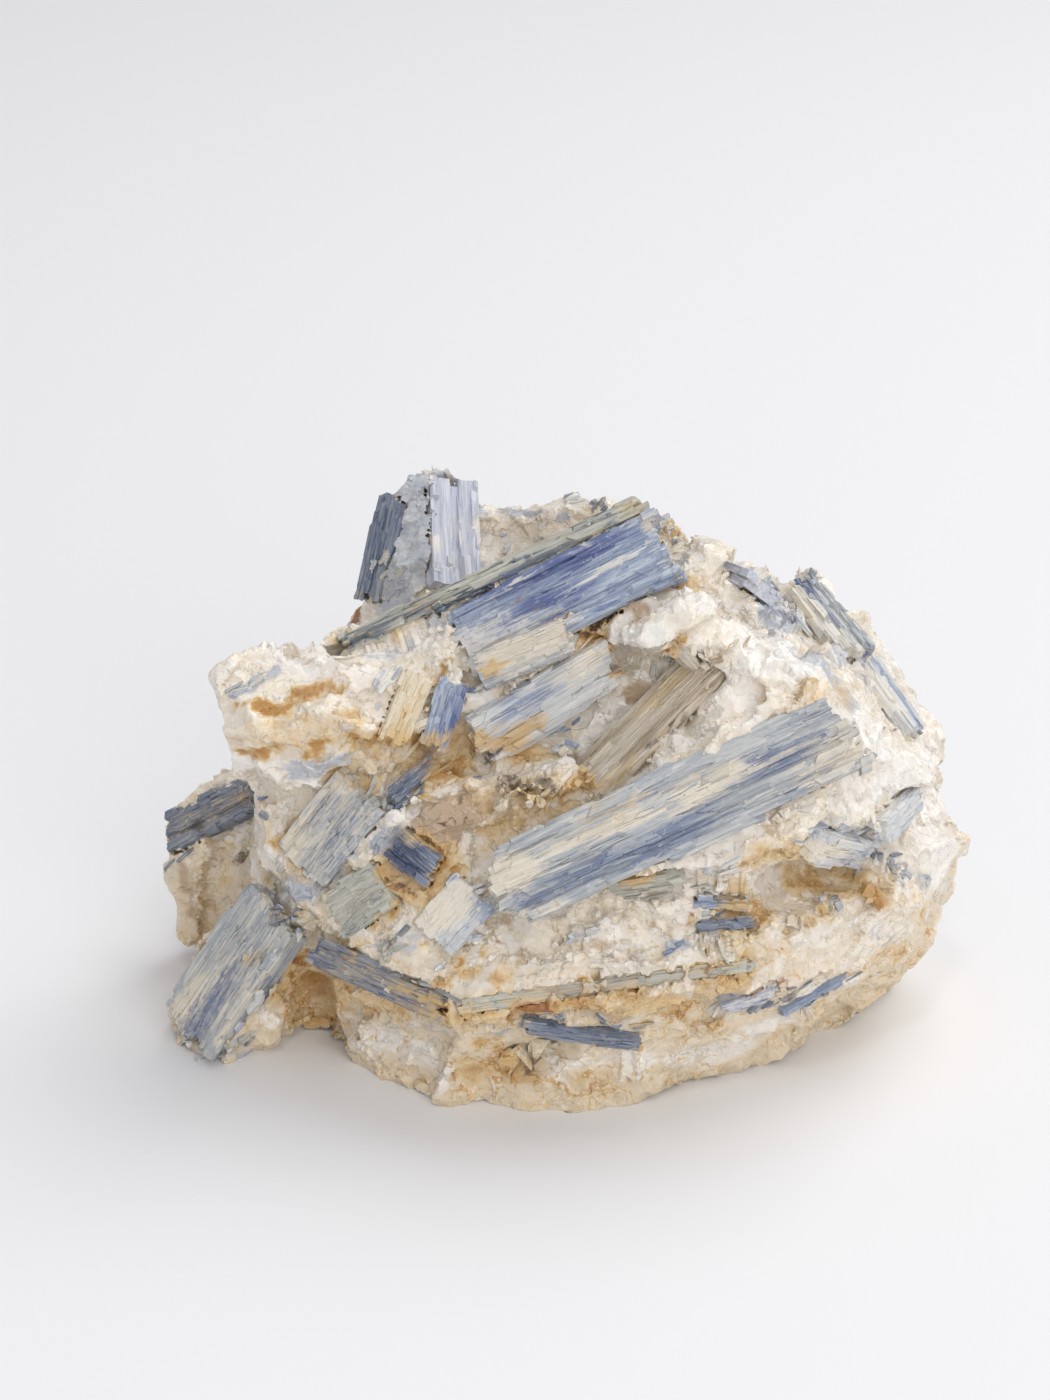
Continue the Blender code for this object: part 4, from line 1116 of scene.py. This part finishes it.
def split_blade(name, seed):
    """The blade's solid with split lamellae and fibres laid on its faces."""
    dice = np.random.default_rng(seed)
    turn, low, high = FRAMES[name]
    solid = frame["nodes"][name].data
    surface = solid_surface([name])
    length, width, _ = high - low
    core = cad_copy(name, "core")
    core_points = points_of(core.data) - 0.08 * normals_of(core.data)
    shapes = LAMELLAE + [(core_points @ turn, faces_of(core.data))]
    bpy.data.objects.remove(core)
    copies = [(LAMELLA_KINDS, np.zeros(3), turn, np.ones(3))]
    area = sum(face.area for face in solid.polygons) / MM ** 2
    # Broad lamellae, then fine fibres: how many, width and length, lift, thickness
    broad = min(1.5, width * 0.3), min(15.0, length * 0.65)
    kinds = [(int(area * 0.4), broad, (-0.02, 0.07), 0.9),
             (int(area * 1.3), (0.34, min(7.0, length * 0.5)), (-0.04, 0.1), 0.5)]
    for count, (wide, long), (lowest, highest), thick in kinds:
        spots, outs = spread_over(solid, count, dice)
        for spot, out in zip(spots, outs):
            # The ends stay bare, and so does the side that lies in the quartz
            if abs(out @ turn[:, 0]) > 0.6 or out @ turn[:, 2] < -0.4:
                continue
            along = turn[:, 0] + turn[:, 1] * dice.normal() * 0.03
            axes = axes_along(along, out + turn[:, 1] * dice.normal() * 0.06)
            long_now = held(surface, spot, axes[:, 0], long * dice.uniform(0.35, 1.0), 0.3)
            size = np.array([long_now, wide * dice.uniform(0.4, 1.1), thick])
            lift = dice.uniform(lowest, highest)
            middle = spot + axes[:, 2] * (lift - thick / 2)
            copies.append((int(dice.integers(LAMELLA_KINDS)), middle, axes, size))
    piece, _, counts = laid(shapes, copies, "dressed_" + name)
    middles = np.array([middle for _, middle, _, _ in copies]) @ turn
    # The ends are paler, but for the solid itself, which is the first copy
    to_end = np.abs(middles[:, 0] - (low[0] + high[0]) / 2) / (length / 2)
    ragged = np.clip((to_end - 0.7) / 0.3, 0, 1) * dice.uniform(0, 0.8, len(copies))
    ragged[0] = 0
    tones = np.clip(0.5 + dice.normal(0, 0.16, len(copies)), 0, 1)
    # The streaks run on from lamella to lamella, shifted a little at each
    shifts = dice.normal(0, 1, (len(copies), 3)) * (1.0, 0.15, 0.15) + dice.uniform(0, 90)
    grain = points_of(piece.data) @ turn + np.repeat(shifts, counts, axis=0)
    shade(piece.data, counts, grain, tones, ragged)
    return piece


def splinter(dice, place, axes, size, sunk):
    """A copy of a lamella for laid, its middle this share of its thickness under the place."""
    return int(dice.integers(LAMELLA_KINDS)), place - axes[:, 2] * size[2] * sunk, axes, size


def drawn_slivers(ground, dice):
    """The splinters of each bunch in the table, one by one, each with its slot."""
    for *ends, width, slot, count in SLIVERS.values():
        path = line_over(ends)
        if len(path) < 2:
            continue
        way = path[-1] - path[0]
        long = min(np.linalg.norm(way), LONGEST_SLIVER)
        for _ in range(count):
            where, out, _, _ = ground.find_nearest(path[int(dice.integers(len(path)))])
            out = unit(np.array(out) - np.array(LOOK) * 0.4)
            along = unit(way) + 0.07 * dice.normal(size=3)
            axes = axes_along(along, out + 0.15 * dice.normal(size=3))
            here = np.array(where) + axes[:, 1] * dice.uniform(-0.5, 0.5) * width
            here = np.array(ground.find_nearest(here)[0])
            length = held(ground, here, axes[:, 0], long * dice.uniform(0.3, 0.85), 0.45)
            wide = dice.uniform(0.22, 0.55) * (1.3 if width > 1.5 else 1)
            size = np.array([length, wide, dice.uniform(0.5, 0.8)])
            yield slot, splinter(dice, here, axes, size, 0.22)


def stray_slivers(crust, ground, dice):
    """Bunches scattered over the crust along the foliation, one by one, each with its slot."""
    spots, outs = spread_over(crust.data, STRAY_SLIVERS, dice)
    for spot, out in zip(spots, outs):
        if spot[2] < 1.5 or BLADES.find_nearest(spot)[3] < 0.6:
            continue
        slot = STRAY_SLOTS[int(dice.integers(len(STRAY_SLOTS)))]
        axes = axes_along(FOLIATION + 0.2 * dice.normal(size=3), out)
        for _ in range(int(dice.integers(2, 6))):
            here = spot + axes[:, 1] * dice.normal() * 0.7 + axes[:, 0] * dice.normal()
            here = np.array(ground.find_nearest(here)[0])
            length = held(ground, here, axes[:, 0], dice.uniform(1.2, 5), 0.4)
            size = np.array([length, dice.uniform(0.25, 0.6), 0.7])
            yield slot, splinter(dice, here, axes, size, 0.25)


def sliver_bunches(crusts):
    """The thin splinters that lie between the blades, one piece for each finish."""
    ground = surface_of(crusts)
    dice = np.random.default_rng(33)
    bunches = {}
    for slot, copy in (*drawn_slivers(ground, dice), *stray_slivers(crusts[1], ground, dice)):
        bunches.setdefault(slot, []).append(copy)
    made = {}
    for slot, copies in bunches.items():
        piece, own, counts = laid(LAMELLAE, copies, slot.replace("kyanite", "slivers"))
        grain = own + np.repeat(dice.uniform(0, 60, (len(copies), 3)), counts, axis=0)
        shade(piece.data, counts, grain, dice.random(len(copies)),
              0.5 * dice.random(len(copies)) ** 2)
        made[slot] = piece
    return made


# ---------------------------------------------------------------- materials

MATH, MIX, RANGE = "ShaderNodeMath", "ShaderNodeMix", "ShaderNodeMapRange"
NOISE, CELLS = "ShaderNodeTexNoise", "ShaderNodeTexVoronoi"
LAYER, VECTOR = "ShaderNodeAttribute", "ShaderNodeVectorMath"


def colour(hex_value):
    """An sRGB hex colour as linear RGBA."""
    parts = [int(hex_value[i:i + 2], 16) / 255 for i in (1, 3, 5)]
    return (*[c / 12.92 if c <= 0.04045 else ((c + 0.055) / 1.055) ** 2.4 for c in parts], 1)


def node(tree, kind, links, out=0, **settings):
    """Adds a node with its settings, links or sets its inputs, and gives one output."""
    made = tree.nodes.new(kind)
    for name, value in settings.items():
        setattr(made, name, value)
    for name, value in links.items():
        if isinstance(value, bpy.types.NodeSocket):
            tree.links.new(value, made.inputs[name])
        else:
            made.inputs[name].default_value = value
    return made.outputs[out]


def started(name, layer_names):
    """A new material, its tree, its shader, and the piece's layers that it reads."""
    made = bpy.data.materials.new(name)
    made.use_nodes = True
    tree = made.node_tree
    layers = {key: node(tree, LAYER, {}, "Fac", attribute_name=key) for key in layer_names}
    return made, tree, tree.nodes["Principled BSDF"], layers


def summed(tree, start, *terms):
    """The start with each value times its factor added to it, one after the other."""
    for value, factor in terms:
        start = node(tree, MATH, {0: value, 1: factor, 2: start}, operation="MULTIPLY_ADD")
    return start


def coated(tree, body, coat, amount, low, high, most=1.0, ease="SMOOTHSTEP"):
    """The body's colour with a coat laid over it: nothing of the coat where the amount is
    low, most of it where the amount is high."""
    if isinstance(body, str):
        body = colour(body)
    if isinstance(coat, str):
        coat = colour(coat)
    share = node(tree, RANGE, {0: amount, 1: low, 2: high, 4: most}, interpolation_type=ease)
    return node(tree, MIX, {0: share, 6: body, 7: coat}, 2, data_type="RGBA")


def split_faces(tree, shader, cells, tilt, relief, strength, depth):
    """Turns each cell's face its own way, so that it catches the light alone, and raises
    the relief on it by this depth in metres."""
    way = node(tree, VECTOR, {0: cells, 1: (0.5, 0.5, 0.5)}, operation="SUBTRACT")
    way = node(tree, VECTOR, {0: way, "Scale": tilt}, operation="SCALE")
    outward = node(tree, "ShaderNodeNewGeometry", {}, "Normal")
    turned = node(tree, VECTOR, {0: outward, 1: way}, operation="ADD")
    turned = node(tree, VECTOR, {0: turned}, operation="NORMALIZE")
    bump = node(tree, "ShaderNodeBump", {"Height": relief, "Strength": strength,
                                         "Distance": depth, "Normal": turned})
    tree.links.new(bump, shader.inputs["Normal"])


def quartz_material():
    """Massive quartz, split and weathered: a soft greasy lustre on each broken face, a little
    light let in, iron hydroxide (ochre to rust) in its seams, grey kyanite dust in places,
    and painted shade in its hollows and along the blades."""
    made, t, shader, layers = started("massive_quartz_split_and_iron_stained",
                                      [*STAINS, "tone", "hollow", "contact"])
    place = node(t, "ShaderNodeTexCoord", {}, "Object")
    mm = node(t, VECTOR, {0: place, "Scale": 1000.0}, operation="SCALE")
    # Broad cloudiness over about 8 mm, mottling over 2 mm, sugar over 0.5 mm
    cloud = node(t, NOISE, {"Vector": mm, "Scale": 1 / 8, "Detail": 3})
    mottle = node(t, NOISE, {"Vector": mm, "Scale": 1 / 2, "Detail": 5, "Roughness": 0.62})
    sugar = node(t, NOISE, {"Vector": mm, "Scale": 1 / 0.45, "Detail": 3, "Roughness": 0.6})
    # Fibrous streaks along the foliation, about 0.4 mm wide
    turned = node(t, "ShaderNodeMapping", {"Vector": mm, "Rotation": (0, 0.56, -0.34),
                                           "Scale": (0.16, 1.5, 1.5)})
    streak = node(t, NOISE, {"Vector": turned, "Scale": 1.0, "Detail": 4, "Roughness": 0.65})

    body = coated(t, "#eee5d9", "#f1e6d3", cloud, 0.38, 0.62)
    light = summed(t, mottle, (layers["tone"], 0.5))
    body = coated(t, body, "#f6f1e9", light, 0.72, 1.0)
    body = coated(t, body, "#dccfbe", light, 0.72, 0.45, 0.65)
    # Interlocked grains about 1 mm across: some clear, some milky, dust along their borders
    wavy = node(t, NOISE, {"Vector": mm, "Scale": 1 / 1.3, "Detail": 3}, 1)
    wavy = node(t, VECTOR, {0: wavy, 1: (1.3, 1.3, 1.3), 2: mm}, operation="MULTIPLY_ADD")
    cells = node(t, CELLS, {"Vector": wavy, "Scale": 1 / 1.05}, "Color")
    border = node(t, CELLS, {"Vector": wavy, "Scale": 1 / 1.05}, "Distance",
                  feature="DISTANCE_TO_EDGE")
    kind = node(t, "ShaderNodeSeparateColor", {0: cells}, "Red")
    body = coated(t, body, "#cfc3b1", kind, 0.66, 0.8, 0.4, "LINEAR")
    body = coated(t, body, "#f5f0e9", kind, 0.36, 0.2, 0.6, "LINEAR")
    dusty = summed(t, 0.13, (mottle, -0.12))
    dusty = node(t, MATH, {0: border, 1: dusty}, operation="DIVIDE")
    dusty = node(t, RANGE, {0: dusty, 1: 1.0, 2: 0.3})
    in_places = node(t, RANGE, {0: cloud, 1: 0.48, 2: 0.58, 4: 0.32})
    dusty = node(t, MATH, {0: dusty, 1: in_places}, operation="MULTIPLY")
    body = node(t, MIX, {0: dusty, 6: body, 7: colour("#bba589")}, 2, data_type="RGBA")

    # Iron has soaked into the lowest 25 mm
    height = node(t, "ShaderNodeSeparateXYZ", {0: mm}, "Z")
    soaked = summed(t, height, (mottle, -50.0))
    soaked = node(t, RANGE, {0: soaked, 1: 2.0, 2: -20.0, 4: 0.8},
                  interpolation_type="SMOOTHSTEP")
    body = node(t, MIX, {0: soaked, 6: body, 7: colour("#dfccad")}, 2, data_type="RGBA")
    # Thin iron veins, 0.3 mm wide and some 5 mm apart, most of them low down
    net = node(t, NOISE, {"Vector": mm, "Scale": 1 / 4.5, "Detail": 4, "Roughness": 0.55})
    vein = node(t, MATH, {0: net, 1: 0.5, 2: 0.012}, operation="COMPARE")
    vein = node(t, MATH, {0: vein, 1: summed(t, 0.15, (soaked, 0.5))}, operation="MULTIPLY")
    # Milky white, and painted light, from the white strokes
    white = summed(t, mottle, (layers["white"], 1.0))
    body = coated(t, body, "#f4f0ea", white, 0.75, 1.3, 0.8)
    glassy = summed(t, mottle, (layers["tan"], 1.0))
    body = coated(t, body, "#b89d7e", glassy, 0.8, 1.1, 0.85)

    blue = summed(t, layers["blue"], (streak, 1.1))
    bluish = coated(t, "#9ea6b5", "#c5c8cc", streak, 0.35, 0.65, ease="LINEAR")
    body = coated(t, body, bluish, blue, 0.85, 1.2, 0.9)
    # A thin scatter of grey streaks everywhere
    body = coated(t, body, "#a3a39f", streak, 0.6, 0.74, 0.4)

    # Iron stain, and painted shade in hollows and along the blades
    iron_and_shade = summed(t, layers["ochre"], (layers["contact"], 0.3), (layers["hollow"], 0.25),
                  (vein, 1.0), (mottle, 0.8), (sugar, 0.35), (streak, 0.5))
    grainy = summed(t, streak, (sugar, 1.0))
    iron = coated(t, "#d0a96c", "#e5cfa2", grainy, 0.8, 1.2, ease="LINEAR")
    body = coated(t, body, iron, iron_and_shade, 1.0, 1.6, 0.9)
    body = coated(t, body, "#b98642", iron_and_shade, 1.5, 2.0, 0.8)
    rust = summed(t, sugar, (layers["rust"], 0.8))
    body = coated(t, body, "#9c6433", rust, 0.78, 1.15, 0.9)
    # Dark dirt, and painted shade in hollows, laid on as soot
    deep = summed(t, layers["dirt_and_shade"], (layers["hollow"], 0.15), (mottle, 1.0), (sugar, 1.0))
    soot_and_shade = coated(t, "#3f3a38", "#6e5c48", grainy, 0.8, 1.2, ease="LINEAR")
    body = coated(t, body, soot_and_shade, deep, 1.55, 2.0, 0.85)
    # Dark specks and hair lines
    speck = node(t, RANGE, {0: sugar, 1: 0.66, 2: 0.76, 4: 0.35})
    hairline = node(t, MATH, {0: net, 1: 0.42, 2: 0.006}, operation="COMPARE")
    speck = summed(t, speck, (hairline, 0.35))
    body = node(t, MIX, {0: speck, 6: body, 7: colour("#8b7b66")}, 2, data_type="RGBA")
    t.links.new(body, shader.inputs["Base Color"])

    glint = node(t, "ShaderNodeSeparateColor", {0: cells}, "Green")
    gloss = summed(t, sugar, (glint, 0.35))
    gloss = node(t, RANGE, {0: gloss, 1: 0.4, 2: 0.95, 3: 0.08, 4: 0.5})
    t.links.new(gloss, shader.inputs["Roughness"])
    shader.inputs["IOR"].default_value = 1.54
    shader.inputs["Subsurface Weight"].default_value = 0.34
    shader.inputs["Subsurface Radius"].default_value = (1.0, 0.8, 0.6)
    shader.inputs["Subsurface Scale"].default_value = 0.0008
    split_faces(t, shader, cells, 0.45, sugar, 0.5, 0.00016)
    return made


# deep colour, middle colour, pale colour, colour of the quartz dust between the fibres
KYANITE = {
    "kyanite_blue": ("#576594", "#919eb6", "#c3ced8", "#e4dfd7"),
    "kyanite_grey": ("#6f7b95", "#a9adb0", "#d2d1ca", "#e1d6c2"),
    "kyanite_pale": ("#9aa5ba", "#cccecf", "#e7e5df", "#ebe1d0"),
    "kyanite_green": ("#66707a", "#b3b2a6", "#d2cfc2", "#d8caa8"),
    "kyanite_dark": ("#3f4a67", "#737d91", "#a8abab", "#bfae90"),
    "kyanite_rusty": ("#b59c78", "#d9cbb0", "#e9e1d0", "#d8bc88"),
    "kyanite_smoky": ("#a49279", "#d6c9b5", "#efe8dc", "#e2cea8"),
    "kyanite_violet": ("#9299b6", "#bdc1ce", "#dbdce1", "#e4ddd6"),
}


def kyanite_material(name):
    """Bladed kyanite, split along its length: fibrous, pearly and streaked, each fibre
    catching the light at its own angle, with quartz dust and iron stain between them."""
    deep_hex, middle_hex, pale_hex, dust_hex = KYANITE[name]
    made, t, shader, layers = started("split_bladed_" + name, [*BLADE_SHADES, "tone"])
    grain = node(t, LAYER, {}, "Vector", attribute_name="grain")
    # Bands 1.5 mm wide, streaks 0.35 mm wide and hair lines 0.14 mm wide, all much longer;
    # real hair lines are finer than the picture can show
    fibres = []
    for long, fine, detail, rough in ((0.09, 0.65, 3, 0.5), (0.17, 2.8, 4, 0.65),
                                      (0.35, 7.0, 2, 0.6)):
        drawn_out = node(t, VECTOR, {0: grain, 1: (long, fine, fine)}, operation="MULTIPLY")
        fibres.append(node(t, NOISE, {"Vector": drawn_out, "Scale": 1.0, "Detail": detail,
                                      "Roughness": rough}))
    band, streak, hair = fibres
    patch = node(t, NOISE, {"Vector": grain, "Scale": 1 / 1.3, "Detail": 5, "Roughness": 0.68})

    value = summed(t, -0.06, (layers["tone"], 0.34), (band, 0.5), (streak, 0.85), (hair, 0.5),
                   (layers["deep"], -0.4))
    body = coated(t, deep_hex, middle_hex, value, 0.72, 0.98)
    body = coated(t, body, pale_hex, value, 0.98, 1.3)
    dust = summed(t, layers["cream"], (patch, 0.8), (streak, 0.8))
    body = coated(t, body, dust_hex, dust, 1.02, 1.5, 0.88)
    iron = summed(t, layers["ochre"], (patch, 0.8), (streak, 0.6))
    body = coated(t, body, "#d3b176", iron, 1.05, 1.45, 0.85)
    rust = summed(t, layers["rust"], (patch, 1.0))
    body = coated(t, body, "#a0683a", rust, 1.1, 1.5, 0.8)
    # Dark dirt, and painted shade in holes and crevices, from the same strokes as on the quartz
    dirt_and_shade = summed(t, layers["dirt_and_shade"], (patch, 1.0))
    body = coated(t, body, "#4a4542", dirt_and_shade, 1.0, 1.35, 0.85)
    # Pale hairline cracks across the fibres, about 4 mm apart
    net = node(t, VECTOR, {0: grain, 1: (0.3, 0.22, 0.22)}, operation="MULTIPLY")
    crack = node(t, CELLS, {"Vector": net, "Scale": 1.0}, "Distance",
                 feature="DISTANCE_TO_EDGE")
    body = coated(t, body, dust_hex, crack, 0.015, 0.0, 0.3, "LINEAR")
    t.links.new(body, shader.inputs["Base Color"])

    gloss = node(t, RANGE, {0: streak, 1: 0.3, 2: 0.7, 3: 0.2, 4: 0.52})
    t.links.new(gloss, shader.inputs["Roughness"])
    shader.inputs["IOR"].default_value = 1.72
    cells = node(t, VECTOR, {0: grain, 1: (0.25, 3.2, 3.2)}, operation="MULTIPLY")
    cells = node(t, CELLS, {"Vector": cells, "Scale": 1.0}, "Color")
    split_faces(t, shader, cells, 0.3, summed(t, streak, (hair, 0.5)), 0.6, 0.00015)
    return made


# ---------------------------------------------------------------- the specimen

maker = random.Random(17)
LAMELLAE = [lamella(maker) for _ in range(LAMELLA_KINDS)]
finishes = {slot: kyanite_material(slot) for slot in KYANITE}
quartz = quartz_material()

crusts = quartz_crust()
for piece in (*crusts, sugar_grains(crusts)):
    standing(piece).data.materials.append(quartz)
    only(piece)
    bpy.ops.object.shade_smooth_by_angle(angle=FLAT_EDGE)
    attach(piece, "root")
for crust in crusts:
    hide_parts("quartz_matrix")

for slot, piece in sliver_bunches(crusts).items():
    standing(piece).data.materials.append(finishes[slot])
    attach(piece, "root")

for seed, name in enumerate(sorted(FRAMES)):
    piece = standing(split_blade(name, seed))
    piece.data.materials.append(finishes[SLOTS[name]])
    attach(piece, "root")
    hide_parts(name)

# ---------------------------------------------------------------- floor, light and camera

bpy.ops.object.select_all(action="DESELECT")
bpy.ops.mesh.primitive_plane_add(size=4)
floor = bpy.context.object
floor.name = "floor"
paper = bpy.data.materials.new("white_paper")
paper.use_nodes = True
paper.node_tree.nodes["Principled BSDF"].inputs["Base Color"].default_value = colour("#efeff0")
paper.node_tree.nodes["Principled BSDF"].inputs["Roughness"].default_value = 0.9
floor.data.materials.append(paper)

room = bpy.data.worlds.new("white_room")
bpy.context.scene.world = room
room.use_nodes = True
room.node_tree.nodes["Background"].inputs["Color"].default_value = colour("#fbfbff")
room.node_tree.nodes["Background"].inputs["Strength"].default_value = 0.49


def softbox(name, place, aim, size, power):
    """A round soft light at a place, aimed at another, with its width in m and watts."""
    light = bpy.data.lights.new(name, "AREA")
    light.shape = "DISK"
    light.size = size
    light.energy = power
    lamp = added(name, light)
    lamp.location = place
    lamp.rotation_euler = (Vector(aim) - Vector(place)).to_track_quat("-Z", "Y").to_euler()


softbox("ceiling", (0.44, 0.34, 0.82), (0, 0, 0.02), 0.8, 4.8)
softbox("screen", (0.26, -0.80, 0.46), (0, 0, 0.03), 0.7, 3.2)
softbox("lamp", (-0.05, -0.45, 0.80), (0, 0, 0.04), 0.10, 0.55)

camera = bpy.data.cameras.new("camera")
camera.lens = LENS
camera.sensor_width = SENSOR
camera.clip_start = 0.01
view = added("camera", camera)
view.location = EYE * MM
view.rotation_euler = LOOK.to_track_quat("-Z", "Y").to_euler()
bpy.context.scene.camera = view
bpy.context.scene.view_settings.view_transform = "Standard"
